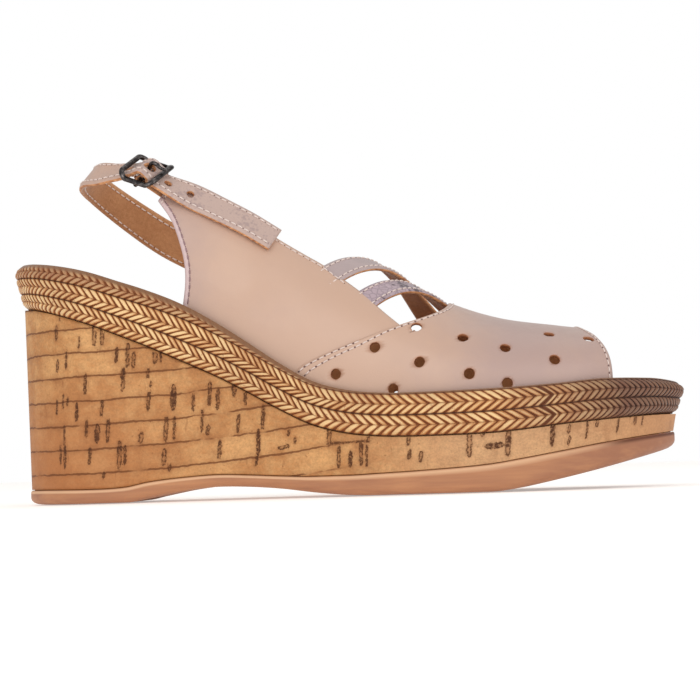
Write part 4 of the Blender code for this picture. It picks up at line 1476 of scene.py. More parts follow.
class SandalColours(bpy.types.PropertyGroup):
    """Colours of the finishes."""

    nude: colour_value("Nude", "Smooth leather", 198, 164, 143)
    # Nude shade is painted skylight shade on the smooth leather's rear and toe, and plain tone on the edges
    # and the heel strap.
    nude_shade: colour_value("Nude shade", "Smooth leather where it turns mauve", 178, 151, 143)
    lining: colour_value("Lining", "Napped lining", 206, 152, 106)
    lining_shade: colour_value("Lining shade", "Napped lining where it is rubbed", 172, 118, 76)
    raw_edge: colour_value("Raw edge", "Leather inside the punched holes", 168, 108, 70)
    cut_edge: colour_value("Cut edge", "Thick raw edge of the straps", 224, 164, 114)
    taupe: colour_value("Taupe", "Plain instep strap", 172, 154, 153)
    print_light: colour_value("Print ground", "Ground of the printed strap", 180, 160, 168)
    print_dark: colour_value("Print ink", "Marks of the printed strap", 92, 78, 86)
    fleck_light: colour_value("Fleck ground", "Ground of the strap's free end", 188, 163, 153)
    fleck_dark: colour_value("Fleck", "Flecks of the strap's free end", 172, 149, 144)
    thread: colour_value("Thread", "Sewing thread", 224, 206, 198)
    dark_thread: colour_value("Dark thread", "Thread of the quarters' rear seams", 148, 118, 122)
    hem: colour_value("Hem", "Lilac strip along the quarters' rear edges", 208, 184, 186)
    # The needle hole colour is painted shade of the holes.
    needle: colour_value("Needle hole", "Needle holes", 108, 82, 78)
    # Straw is a strand's lit middle under its painted highlight; the straw shade colour is its painted shade,
    # mixed with random darker tone.
    straw: colour_value("Straw", "Braid strands", 234, 198, 144)
    straw_shade_and_tone: colour_value("Straw shade", "Darker braid strands", 194, 138, 84)
    # Straw rim is painted shade along the strands' gaps.
    straw_rim_shade: colour_value("Straw rim", "Braid strands along their gaps", 182, 114, 60)
    # Burnt straw paints patina, specks and the darker top row, and the start of the painted shade towards the
    # toe; the toe colour is that painted shade at its darkest.
    straw_burnt_and_shade: colour_value("Burnt straw", "Burnished braid", 146, 94, 64)
    straw_toe_shade: colour_value("Straw at the toe", "Burnished braid at the toe", 104, 66, 52)
    # Groove and pit colours are painted shade of the gaps, the pits darkest at the toe and between rows.
    braid_groove: colour_value("Braid groove", "Gaps of the braid", 128, 70, 34)
    braid_pit: colour_value("Braid pit", "Gaps of the braid at the toe and between its rows", 54, 33, 26)
    lip: colour_value("Lip", "Plain lip above the braid", 128, 90, 62)
    cork: colour_value("Cork", "Cork", 205, 155, 102)
    cork_shade: colour_value("Cork shade", "Darker cork", 176, 122, 74)
    cork_pale: colour_value("Pale cork", "Cork under the forefoot", 200, 158, 118)
    # Burnt cork paints stains and the painted seam shadow; red cork paints the redder low heel and painted
    # shade towards the toe.
    cork_burnt: colour_value("Burnt cork", "Stains, smudges and specks of the cork", 134, 82, 46)
    cork_red: colour_value("Red cork", "Cork low down at the heel and at the toe", 172, 108, 64)
    cork_seam: colour_value("Cork seam", "Thin seams between layers of cork", 108, 60, 28)
    cork_ink: colour_value("Cork mark", "Dark marks of the cork", 78, 44, 26)
    rubber: colour_value("Rubber", "Outsole", 192, 138, 99)
    # Rubber shade paints the streaks' tone and the painted shade towards the toe.
    rubber_shade: colour_value("Rubber shade", "Outsole in its streaks and at the toe", 160, 110, 84)
    # The rubber lip colour is a painted highlight.
    rubber_lip: colour_value("Rubber lip", "Upper lip of the outsole", 228, 186, 148)
    # The tread groove colour is painted shade of the tread's pits and of the toe's crevice.
    tread_groove: colour_value("Tread groove", "Pits of the tread", 88, 44, 30)
    gunmetal: colour_value("Gunmetal", "Buckle", 56, 53, 54)
    gunmetal_worn: colour_value("Worn gunmetal", "Buckle where it is rubbed", 120, 114, 112)


class SandalStage(bpy.types.PropertyGroup):
    """Camera and light."""

    camera_distance: size_value("Camera distance", "From the middle of the shoe, in plan", 700.0)
    camera_height: size_value("Camera height", "Height of the camera above the floor", 10.0)
    camera_azimuth: angle_value("Azimuth", "Angle of the camera from the lateral side towards the toe", 2.5)
    camera_roll: angle_value("Roll", "Roll of the camera that lifts the toe in the picture", -1.83)
    camera_lens: FloatProperty(name="Lens", description="Focal length in millimetres", default=96.8)
    aim: FloatVectorProperty(name="Aim", description="Point that the camera looks at", subtype="TRANSLATION",
                             default=(0.0006, 0.0, 0.0537), size=3)
    sky: FloatProperty(name="Sky", description="Strength of the light from all round", default=0.72)
    key: power_value("Key light", "Soft light from the front left", 3.9)
    fill: power_value("Fill light", "Soft light from the front right", 2.2)
    top: power_value("Top light", "Soft light from above and behind", 0.7)
    floor: colour_value("Floor", "Pale floor", 245, 244, 242)
    floor_glow: FloatProperty(name="Floor glow", description="Light given off by the lit floor", default=0.38)


def groups():
    scene = bpy.context.scene
    return scene.sandal_sizes, scene.sandal_colours


# Sole

def rand_height(x, share):
    """Height at a share of the rand, from its foot to its top."""
    return side(x, "rand_bottom") + share * (side(x, "rand_top") - side(x, "rand_bottom"))


def rand_lean(x, share):
    """Inset of the rand at heel and toe, where its foot leans in below its widest place."""
    to_end = SHOE_LENGTH / 2 - np.abs(x)
    lean = RAND_END_FLARE * np.clip(1 - to_end / RAND_FLARE_LENGTH, 0, 1)
    return lean * np.clip(1 - share / RAND_WIDEST_SHARE, 0, None)


def braid_grid(sizes):
    """Rand as a grid over strand phase and row: its columns follow the strands' zigzag.

    The travel is that of the phase plus lean times the half height of the row times 1 - |2w - 1|, with w the
    place in the row, less slope times the height above the rand's middle, which keeps the strands square to a
    sloping row. The inset is the face's, plus a valley |2w - 1|^7 between rows, a crease along each row's
    middle, and the groove (p / width)^3 beside each strand, p = -1..1 across it, which narrows by
    BRAID_TAPER at its lower end. All relief fades where a row is low and in the lip above the third row.
    """
    pitch = np.interp(RING[:, 0], column(BRAID, "x"), column(BRAID, "pitch"))
    turns = np.concatenate(([0.0], np.cumsum(np.diff(RING_TRAVEL) / ((pitch[1:] + pitch[:-1]) / 2))))
    strands = int(round(turns[-1]))
    phase = np.append((np.arange(strands)[:, None] + np.array(ACROSS_STRAND)).ravel(), strands)
    base = np.interp(phase * turns[-1] / strands, turns, RING_TRAVEL)
    rows = np.append((np.arange(6)[:, None] + np.array(ACROSS_HALF_ROW)).ravel() / 2, 3.0)
    phase, rows = np.meshgrid(phase, rows)
    base_x = on_ring(base, 0.0)[0]
    second = along(base_x, BRAID_ROWS, "second_row")
    third = along(base_x, BRAID_ROWS, "third_row")
    starts = np.stack((np.zeros_like(second), second, third, np.ones_like(second)))
    number = np.clip(rows.astype(int), 0, 2)
    w = rows - number
    columns = np.broadcast_to(np.arange(base.size), rows.shape)
    low, high = starts[number, columns], starts[number + 1, columns]
    share = low + w * (high - low)
    height = side(base_x, "rand_top") - side(base_x, "rand_bottom")
    row_height = (high - low) * height
    edge = np.abs(2 * w - 1)
    middle = (side(base_x, "rand_top") + side(base_x, "rand_bottom")) / 2
    slope = np.gradient(middle) / np.gradient(base)
    lean = np.interp(base_x, column(BRAID, "x"), column(BRAID, "lean"))
    travel = base + lean * row_height / 2 * (1 - edge)
    travel = travel - slope / (1 + slope ** 2) * (share - 0.5) * height
    lip = ease(rows - 2 - along(base_x, BRAID_ROWS, "lip"), -0.08, 0.06)
    tall = np.clip(row_height / BRAID_FULL_ROW, 0, 1) * (1 - lip)
    p = np.abs(2 * np.mod(phase, 1) - 1)
    lower = 1 - np.mod(2 * w, 1)
    groove = np.clip(p / (1 - BRAID_TAPER * lower ** 2), 0, 1.15) ** BRAID_GROOVE_POWER
    crease = np.exp(-((w - 0.5) / BRAID_CREASE_SHARE) ** 2)
    inset = along(share, RAND_FACE, "inset") + sizes.braid_valley / MM * tall * edge ** BRAID_VALLEY_POWER
    inset = inset + BRAID_CREASE * tall * crease + sizes.braid_relief / MM * tall * groove
    x, _ = on_ring(travel, inset)
    inset = np.minimum(inset + rand_lean(x, share), RAND_WIDTH - 0.4)
    x, y = on_ring(travel, inset)
    face = np.dstack((x, y, rand_height(x, share)))
    hidden = []
    for inset_back, share_back in ((RAND_BACK_INSET, 1.0), (RAND_WIDTH, 0.95), (RAND_WIDTH, 0.0)):
        hidden.append(ring_line(base, inset_back, lambda x, k=share_back: rand_height(x, k))[None])
    grid = np.concatenate([face, *hidden, face[:1]])
    back_rows = np.array([3.3, 3.5, 3.7, 3.9])[:, None] * np.ones(base.size)
    uv = np.dstack((np.concatenate((phase, phase[:4])), np.concatenate((rows, back_rows))))
    lateral = base < RING_TRAVEL[RING_STATIONS]
    join = float(np.round(np.interp(BRAID_JOIN_X, base_x[lateral], phase[0, lateral])))
    lip = np.concatenate((lip, np.ones((3, base.size)), lip[:1]))
    return grid, uv, lip, join


def build_braid_rand():
    """Rand whose braid ends meet in a dark join on the outer side."""
    sizes, colours = groups()
    grid, uv, lip, join = braid_grid(sizes)
    mesh = patch_mesh("braid_rand_look", [Patch(grid, 0, uv)])
    add_values(mesh, "lip", lip.ravel())
    place_piece("braid_strip", close_mesh(mesh), [braid_straw(colours, join)], "braid", "braid_rand")


def cork_field(travel, height):
    """Depth in millimetres inside the nearest mark, below zero outside: each is a lens, upright or lying."""
    lateral = slice(0, RING_STATIONS + 1)
    places = [(np.interp(mark.x, RING[lateral, 0], RING_TRAVEL[lateral]), mark.z, mark.height, mark.width)
              for mark in CORK_MARKS]
    draw = np.random.default_rng(MARK_SEED)
    at = RING_TRAVEL[RING_STATIONS]
    while at < RING_TRAVEL[-1] - 4:
        at += draw.uniform(*MARK_SPACING)
        x = np.interp(at, RING_TRAVEL, RING[:, 0])
        low, high = side(x, "outsole_top") + MARK_MARGIN, side(x, "rand_bottom") - MARK_MARGIN
        places.append((at, draw.uniform(low, high), draw.uniform(*MARK_HEIGHT), draw.uniform(*MARK_WIDTH)))
    field = np.full(travel.shape, NO_MARK)
    for at, z, tall, wide in places:
        long, thin = max(tall, wide), min(tall, wide)
        lengthwise, across = (travel - at, height - z) if wide > tall else (height - z, travel - at)
        share = np.clip(lengthwise / (long / 2), -1, 1)
        gap = np.hypot(across - 0.25 * share, lengthwise - share * long / 2)
        field = np.maximum(field, thin / 2 * (1 - 0.3 * share ** 4) - gap)
    return field


def build_cork_wedge():
    """Wedge: its wall leans from the outsole's edge to the rand's, and its core rises to the insole."""
    sizes, colours = groups()
    travel = np.linspace(0, RING_TRAVEL[-1], CORK_MESH[1])
    share = np.linspace(0, 1, CORK_MESH[0])[:, None]
    inset = WEDGE_FOOT_INSET + (WEDGE_HEAD_INSET - WEDGE_FOOT_INSET) * share
    x, y = on_ring(np.broadcast_to(travel, CORK_MESH), inset)
    low, high = side(x, "outsole_top") + SEAT_GAP, side(x, "rand_bottom") - SEAT_GAP
    z = low + (high - low) * share
    wall = np.dstack((x, y, z))

    def head_height(x, y=None):
        return footbed(x) - INSOLE_THICKNESS - SEAT_GAP

    def seat_height(x, y=None):
        return side(x, "outsole_top") + SEAT_FLOAT

    shelf = ring_line(travel, RAND_WIDTH + SEAT_GAP, lambda x: side(x, "rand_bottom") - SEAT_GAP)
    top = ring_line(travel, RAND_WIDTH + SEAT_GAP, head_height)
    ledge = np.stack((wall[-1], shelf, top))
    plinth = WEDGE_FOOT_INSET + PLINTH_INSET
    sunk = ring_line(travel, plinth, lambda x: side(x, "outsole_top") + SEAT_GAP)
    seat = ring_line(travel, plinth, seat_height)
    step = np.stack((wall[0], sunk, seat))
    foot = ring_cap(seat, CAP_COLUMNS, seat_height)
    head = ring_cap(top, CAP_COLUMNS, head_height)
    mesh = patch_mesh("cork_wedge_look", [Patch(wall), Patch(ledge), Patch(step), Patch(foot), Patch(head)])
    marks = np.full(len(mesh.vertices), NO_MARK)
    marks[:wall.shape[0] * wall.shape[1]] = cork_field(np.broadcast_to(travel, z.shape), z).ravel()
    add_values(mesh, "mark", marks)
    place_piece("cork_block", close_mesh(mesh), [cork_veneer(colours, sizes.cork_layer / MM)], "cork",
                "cork_wedge")


def past_heel_border(x, y):
    """Distance along the shoe behind the border of the heel's tread."""
    return HEEL_TREAD_X + HEEL_TREAD_SLANT * y - x


def past_fore_border(x, y):
    """Distance along the shoe ahead of the border of the forefoot's tread."""
    return x - FORE_TREAD_X - FORE_TREAD_SLANT * y


def tread_area(x, y):
    """1 inside the two tread patches and 0 outside: behind and ahead of their slanting borders."""
    return np.maximum(ease(past_heel_border(x, y), -1.0, 1.0), ease(past_fore_border(x, y), -1.0, 1.0))


def edge_room(x, y):
    """Distance of plan points from the rand's outer edge, inwards, from the nearest points of the ring."""
    ring = RING[::6]
    outward = RING_OUTWARD[::6]
    room = np.full(np.shape(x), 1e3)
    for start in range(0, len(ring), 50):
        part = slice(start, start + 50)
        to_x, to_y = ring[part, 0] - x[..., None], ring[part, 1] - y[..., None]
        gap = to_x * outward[part, 0] + to_y * outward[part, 1]
        near = np.hypot(to_x, to_y)
        best = near.argmin(axis=-1)[..., None]
        near = np.take_along_axis(near, best, -1)[..., 0]
        sign = np.sign(np.take_along_axis(gap, best, -1)[..., 0])
        room = np.where(near < np.abs(room), near * sign, room)
    return room


def build_outsole():
    """Rubber unit: lip, wall, rounded lower edge, smooth margin and waist, and a recess for each tread."""
    sizes, colours = groups()
    depth = sizes.tread_depth / MM

    def top(x, y=None):
        return side(x, "outsole_top")

    def bottom(x):
        return side(x, "outsole_bottom")

    def wall_height(x, share):
        return bottom(x) + SOLE_EDGE_HEIGHT + share * (top(x) - bottom(x) - SOLE_EDGE_HEIGHT - SOLE_LIP)

    def layer(inset, height):
        ring = outline(inset, SOLE_STATIONS)
        return np.column_stack((ring, height(ring[:, 0])))

    rings = [layer(OUTSOLE_INSET + SOLE_LIP_INSET, top)]
    rings.append(layer(OUTSOLE_INSET + SOLE_LIP_ROUND_INSET, lambda x: top(x) - SOLE_LIP_ROUND))
    for share in (1.0, 0.75, 0.5, 0.25, 0.0):
        rings.append(layer(OUTSOLE_INSET, lambda x, k=share: wall_height(x, k)))
    for turn in np.radians((22, 45, 67, 90)):
        inset = OUTSOLE_INSET + SOLE_EDGE_REACH * (1 - math.cos(turn))
        rings.append(layer(inset, lambda x, t=turn: bottom(x) + SOLE_EDGE_HEIGHT * (1 - math.sin(t))))
    rings.append(layer(TREAD_INSET, bottom))
    for share in (0.5, 1.0):
        ring = outline(TREAD_INSET + share, SOLE_STATIONS)
        sunk = depth * share * tread_area(ring[:, 0], ring[:, 1])
        rings.append(np.column_stack((ring, bottom(ring[:, 0]) + sunk)))
    wall = np.stack(rings)
    base = ring_cap(rings[-1], SOLE_COLUMNS, lambda x, y: bottom(x) + depth * tread_area(x, y))
    lid = ring_cap(rings[0], CAP_COLUMNS, top)
    mesh = patch_mesh("outsole_look", [Patch(wall), Patch(base), Patch(lid)])
    # Painted shade on the floor of the tread recesses.
    deep = np.zeros(len(mesh.vertices))
    floor_points = base.reshape(-1, 3)
    start = wall.shape[0] * wall.shape[1]
    deep[start:start + len(floor_points)] = tread_area(floor_points[:, 0], floor_points[:, 1])
    add_values(mesh, "deep", deep)
    # The lip rings carry a painted highlight, and at the toe a painted shade of the crevice under the cork.
    lip = np.zeros(len(mesh.vertices))
    lip[wall.shape[1]:3 * wall.shape[1]] = 1.0
    add_values(mesh, "lip", lip)
    place_piece("outsole_unit", close_mesh(mesh), [sole_rubber(colours)], "brown_rubber", "outsole")


def tread_net(pitch, line, depth, island, area):
    """Net of triangles on the sole: each cell is a flat rim round a pit, with a low island where asked.

    Cell corners lie on a triangular lattice. Rim, pit wall and island are the cell drawn in to its middle.
    Cells are kept where area(x, y) of all their corners is true.
    """
    rise = pitch * math.sqrt(3) / 2
    columns = np.arange(-int(TREAD_HALF_LENGTH / pitch), int(TREAD_HALF_LENGTH / pitch))
    lines = np.arange(-int(TREAD_HALF_WIDTH / rise), int(TREAD_HALF_WIDTH / rise))
    i, j = np.meshgrid(columns, lines, indexing="ij")
    first = np.stack(((i + 0.5 * (j % 2)) * pitch, j * rise), axis=-1).reshape(-1, 2)
    step = np.array([[pitch, 0.0], [pitch / 2, rise], [-pitch / 2, rise]])
    upward = np.stack((first, first + step[0], first + step[1]), axis=1)
    downward = np.stack((first, first + step[1], first + step[2]), axis=1)
    cells = np.concatenate((upward, downward))
    cells = cells[area(cells[..., 0], cells[..., 1]).all(axis=1)]
    middle = cells.mean(axis=1, keepdims=True)
    inner = 1 - line / (pitch / math.sqrt(3)) * 2
    # Each ring's darkness is painted shade, darkest on the pit floor.
    levels = [(1.0, 0.0, RIM_SHADE[0]), (inner, 0.0, RIM_SHADE[1])]
    for scale, sunk, dark in (PIT_FLOOR, ISLAND_FOOT, ISLAND_TOP)[:3 if island else 1]:
        levels.append((inner * scale, depth * sunk, dark))
    rings = [middle + (cells - middle) * scale for scale, _, _ in levels]
    plan = np.stack(rings, axis=1)
    z = side(plan[..., 0], "outsole_bottom") + np.array([sunk for _, sunk, _ in levels])[None, :, None]
    points = np.concatenate((plan, z[..., None]), axis=-1)
    deep = np.broadcast_to(np.array([value for _, _, value in levels])[None, :, None], z.shape)
    count = len(levels)
    number = np.arange(count * 3).reshape(count, 3)
    after = np.roll(number, -1, axis=1)
    quads = np.stack((number[:-1], number[1:], after[1:], after[:-1]), axis=-1).reshape(-1, 4)
    start = (np.arange(len(cells)) * count * 3)[:, None, None]
    blocks = [(quads + start).reshape(-1, 4), (number[-1][::-1] + start).reshape(-1, 3)]
    return points.reshape(-1, 3), blocks, deep.ravel()


def build_tread():
    """Treads of forefoot and heel, each a net of triangles whose outer edge runs up into the sole."""
    sizes, colours = groups()
    depth = sizes.tread_depth / MM

    for name, pitch, line, island, border in (
        ("forefoot_tread", sizes.tread_pitch / MM, FORE_TREAD_LINE, False, past_fore_border),
        ("heel_tread", sizes.heel_tread_pitch / MM, HEEL_TREAD_LINE, True, past_heel_border),
    ):
        def area(x, y, past=border):
            return (past(x, y) > TREAD_MARGIN) & (edge_room(x, y) > TREAD_INSET + TREAD_MARGIN)

        points, blocks, deep = tread_net(pitch, line, depth * TREAD_SINK, island, area)
        mesh = fill_mesh(name, points, blocks)
        add_values(mesh, "deep", deep)
        body = bmesh.new()
        body.from_mesh(mesh)
        bmesh.ops.remove_doubles(body, verts=body.verts, dist=WELD)
        rim = [edge for edge in body.edges if edge.is_boundary]
        raised = bmesh.ops.extrude_edge_only(body, edges=rim)["geom"]
        walls = [part for part in raised if isinstance(part, bmesh.types.BMVert)]
        bmesh.ops.translate(body, verts=walls, vec=(0.0, 0.0, TREAD_SKIRT * depth * MM))
        bmesh.ops.recalc_face_normals(body, faces=body.faces)
        body.to_mesh(mesh)
        body.free()
        piece = place_piece(name, mesh, [sole_rubber(colours)], "brown_rubber")
        piece.data.set_sharp_from_angle(angle=math.radians(30))


def build_insole():
    """Foot-bed: hollowed towards its middle, with a soft dip under the heel and the ball."""
    _, colours = groups()

    def layer(point):
        free = outline(RAND_WIDTH + SEAT_GAP + point.inset, BED_STATIONS)
        tucked = outline(LAST_INSET + SEAT_GAP + point.inset, BED_STATIONS)
        x = free[:, :1]
        from_heel = np.clip((x - TUCK_HEEL_X) / TUCK_HEEL_RAMP, 0, 1)
        from_toe = np.clip((TUCK_TOE_X - x) / TUCK_TOE_RAMP, 0, 1)
        ring = free + (tucked - free) * from_heel * from_toe
        return np.column_stack((ring, footbed(ring[:, 0]) - point.depth))

    def bed(x, y):
        dip = sum(d.depth * np.exp(-((x - d.x) / d.length) ** 2 - (y / d.width) ** 2) for d in FOOTBED_DIPS)
        return footbed(x) - INSOLE_SECTION[-1].depth - dip

    rings = [layer(point) for point in INSOLE_SECTION]
    base = ring_cap(rings[0], CAP_COLUMNS, lambda x, y: footbed(x) - INSOLE_THICKNESS)
    top = ring_cap(rings[-1], BED_COLUMNS, bed)
    top[:, 0] = rings[-1][:BED_STATIONS + 1]
    top[:, -1] = rings[-1][::-1][:BED_STATIONS + 1]
    mesh = close_mesh(patch_mesh("insole_look", [Patch(np.stack(rings)), Patch(base), Patch(top)]))
    place_piece("foot_bed", mesh, [lining(colours)], "tan_lining", "insole")


# Upper

def vamp_edges(angle):
    """x of the vamp's rear edge and of its open toe at each angle round the last."""
    up = np.sin(np.radians(angle))
    sweep = np.sin(up * math.pi / 2) ** VAMP_SEAM_POWER
    rear = VAMP_SEAM_X + (VAMP_THROAT_X - VAMP_SEAM_X) * sweep
    toe = VAMP_TOE_X - TOE_OPENING_SETBACK * up ** TOE_OPENING_POWER
    return rear, toe


def vamp_grid(turns, shares):
    """Vamp from the lateral lasting edge over the ridge to the medial one."""
    turn = np.linspace(0, 180, turns)
    angle = np.concatenate(([0, 0, 0], turn, [180, 180, 180]))
    wall = [LASTING_DEPTH, LASTING_TURN, LASTING_TURN / 2]
    drop = np.concatenate((wall, np.zeros(turn.size), wall[::-1]))
    rear, toe = vamp_edges(angle)
    share = np.linspace(0, 1, shares)[:, None]
    x = rear + (toe - rear) * share
    grid = lasted(x, np.broadcast_to(angle, x.shape), np.broadcast_to(drop, x.shape), VAMP_LIFT)
    return grid, angle


def vamp_holes():
    """Middle, direction and radius of each punched hole."""
    places = [(hole.x, math.degrees(math.asin(hole.rise))) for hole in HOLES]
    places += [(hole.x, 180 - math.degrees(math.asin(hole.rise))) for hole in HOLES]
    places += [(x, 90.0) for x in RIDGE_HOLES_X]
    return [(last(x, angle), last_normal(x, angle), PUNCH_RADIUS) for x, angle in places]


def build_vamp():
    sizes, colours = groups()
    looks = [nude_leather(colours), lining(colours), leather_edge(colours)]
    grid, angle = vamp_grid(*VAMP_MESH)
    leather_piece("vamp", grid, LEATHER, looks, "upper", vamp_holes())
    rear = grid.transpose(1, 0, 2)[::-1]
    toe = grid[::-1].transpose(1, 0, 2)
    up = angle[::-1]
    edge, lap = sizes.edge_seam / MM, sizes.lap_seam / MM
    from_foot = np.minimum(up, 180 - up)
    second = lap + (edge - lap) * ease(from_foot, *LAP_EASE_ANGLES)
    first_row = inside_edge(rear, lap - sizes.lap_rows / MM, LEATHER / 2)
    second_row = inside_edge(rear, second, LEATHER / 2)
    toe_row = inside_edge(toe, edge, LEATHER / 2)
    rows = [
        some_of(first_row, (from_foot > SEAM_END_ANGLE) & (up < LAP_ROW_ANGLE)),
        some_of(first_row, (from_foot > SEAM_END_ANGLE) & (up > 180 - LAP_ROW_ANGLE)),
        some_of(second_row, from_foot > SEAM_END_ANGLE),
        some_of(toe_row, from_foot[::-1] > SEAM_END_ANGLE),
    ]
    stitches("vamp_seams", rows, sizes, colours, hole_share=1.0)


def edge_curve(rows, count):
    """Points of a quarter's edge, evenly spread along a smooth curve through its table."""
    return smooth_rows([(row.x, row.z, 0.0) for row in rows], count)[:, :2]


def quarter_grid(top_rows, rear_rows, facing, lengthwise, upward):
    """Quarter filled in side view between its four edges (a Coons patch), then laid on the last."""
    u = np.linspace(0, 1, lengthwise)[:, None]
    v = np.linspace(0, 1, upward)[None, :]
    top = edge_curve(top_rows, u.size)
    rear = edge_curve(rear_rows, v.size)
    foot_x = rear[0, 0] + (QUARTER_FRONT_FOOT_X - rear[0, 0]) * u[:, 0]
    foot = np.column_stack((foot_x, footbed(foot_x)))
    rear[0] = foot[0]
    front = foot[-1] + (top[-1] - foot[-1]) * v.T
    plane = (1 - v)[..., None] * foot[:, None] + v[..., None] * top[:, None]
    plane = plane + (1 - u)[..., None] * rear[None] + u[..., None] * front[None]
    corners = (1 - u) * (1 - v), u * (1 - v), (1 - u) * v, u * v
    for weight, corner in zip(corners, (foot[0], foot[-1], top[0], top[-1])):
        plane = plane - weight[..., None] * corner
    x = np.concatenate((plane[:, :1, 0], plane[..., 0]), axis=1)
    z = np.concatenate((plane[:, :1, 1], plane[..., 1]), axis=1)
    drop = np.zeros_like(x)
    drop[:, 0] = QUARTER_LASTING_DEPTH
    return lasted(x, angle_at(x, z, facing), drop, QUARTER_LIFT)


def build_quarters():
    sizes, colours = groups()
    looks = [nude_leather(colours), lining(colours), leather_edge(colours)]
    edge = sizes.edge_seam / MM
    top_seams, rear_seams = [], []
    for name, top_rows, rear_rows, facing in (
        ("lateral_quarter", LATERAL_TOP, LATERAL_REAR, -1),
        ("medial_quarter", MEDIAL_TOP, MEDIAL_REAR, 1),
    ):
        grid = quarter_grid(top_rows, rear_rows, facing, *QUARTER_MESH)
        hem = 1 - ease(travel_of(grid), edge - 0.6, edge + 0.3)
        flip = slice(None, None, -facing)
        leather_piece(name, grid[:, flip], LEATHER, looks, "upper", vamp_holes(), hem=hem[:, flip])
        top = inside_edge(grid[:, ::-1], edge, 0.0)
        rear = inside_edge(grid.transpose(1, 0, 2), edge, 0.0)
        for row, keep, seams in (
            (top, top.points[:, 0] < 0.5, top_seams),
            (rear, np.arange(len(rear.points)) > 4, rear_seams),
        ):
            row = some_of(row, keep)
            out = row.normals * np.sign(row.normals[:, 1] * facing)[:, None]
            seams.append(Row(row.points + LEATHER / 2 * out, out))
    stitches("quarter_seams", top_seams, sizes, colours)
    stitches("rear_seams", rear_seams, sizes, colours, dark_thread)


def instep_grid(strap, lengthwise, columns):
    """Instep strap: a diagonal band on the last, arched off it in its middle by arch times sin^2."""
    share = np.linspace(0, 1, lengthwise)
    x = strap.x_start + (strap.x_end - strap.x_start) * share
    angle = strap.angle_start + (strap.angle_end - strap.angle_start) * share
    normals = last_normal(x, angle)
    lift = INSTEP_STRAP_LIFT + strap.arch * np.sin(math.pi * share) ** 2
    points = last(x, angle) + lift[:, None] * normals
    return ribbon(points, normals, strap.width, columns)


def build_instep_straps():
    sizes, colours = groups()
    faces = {"plain_strap": taupe_leather(colours), "printed_strap": printed_leather(colours)}
    rows = []
    for strap in INSTEP_STRAPS:
        grid = instep_grid(strap, *INSTEP_MESH)
        travel = travel_of(grid[:, INSTEP_MESH[1] // 2])
        across = np.linspace(-0.5, 0.5, INSTEP_MESH[1]) * strap.width
        uv = np.dstack(np.broadcast_arrays(travel[:, None], across))
        looks = [faces[strap.name], lining(colours), cut_edge(colours)]
        leather_piece(strap.name, grid, INSTEP_STRAP_THICKNESS, looks, "upper", uv=uv)
        for view in (grid, grid[:, ::-1]):
            row = inside_edge(view, INSTEP_SEAM, 0.0)
            normals = row.normals if view is grid else -row.normals
            rows.append(Row(row.points + INSTEP_STRAP_THICKNESS / 2 * normals, normals))
    stitches("instep_seams", rows, sizes, colours)


# Slingback strap and buckle

def strap_rows(rows, facing):
    """Points and outward directions of rows that lie on the last."""
    x = column(rows, "x")
    angle = angle_at(x, column(rows, "z"), facing)
    normals = last_normal(x, angle)
    return last(x, angle) + column(rows, "lift")[:, None] * normals, normals


def strap_loop():
    """Points and outward directions of the free loop behind the heel."""
    points = np.array([(row.x, row.y, row.z) for row in STRAP_LOOP])
    lean = np.radians(column(STRAP_LOOP, "lean"))
    flat = unit((points - np.array([STRAP_LOOP_MIDDLE_X, 0.0, 0.0])) * np.array([1.0, 1.0, 0.0]))
    normals = flat * np.cos(lean)[:, None] + np.array([0.0, 0.0, 1.0]) * np.sin(lean)[:, None]
    return points, normals


def buckle_axes():
    """Centre of the buckle's bar and its directions along the strap, across it and outward.

    The outward direction is the last's there, turned up because the empty strap lies back.
    """
    bar = table("x z lift", (BUCKLE_X, BUCKLE_Z, BAR_LIFT))
    point, normal = strap_rows(bar, -1)
    outward = unit(normal[0] + BUCKLE_TURN_UP * np.array([0.0, 0.0, 1.0]))
    way = np.array(BUCKLE_WAY)
    forward = unit(way - outward * np.dot(way, outward))
    return point[0], forward, np.cross(outward, forward), outward


def strap_in_buckle():
    """Points and outward directions of the strap over the bar and under both ends of the frame."""
    centre, forward, _, outward = buckle_axes()
    points = centre + np.outer(column(STRAP_IN_BUCKLE, "forward"), forward)
    points = points + np.outer(column(STRAP_IN_BUCKLE, "out"), outward)
    return points, np.broadcast_to(outward, points.shape)


def strap_path(count):
    """Middle line and outward direction of the whole slingback strap."""
    pieces = (
        strap_rows(STRAP_MEDIAL_END, 1),
        strap_loop(),
        strap_in_buckle(),
        strap_rows(STRAP_TAIL, -1),
    )
    rows = np.concatenate([np.column_stack(piece) for piece in pieces])
    path = smooth_rows(rows, count)
    return path[:, :3], unit(path[:, 3:])


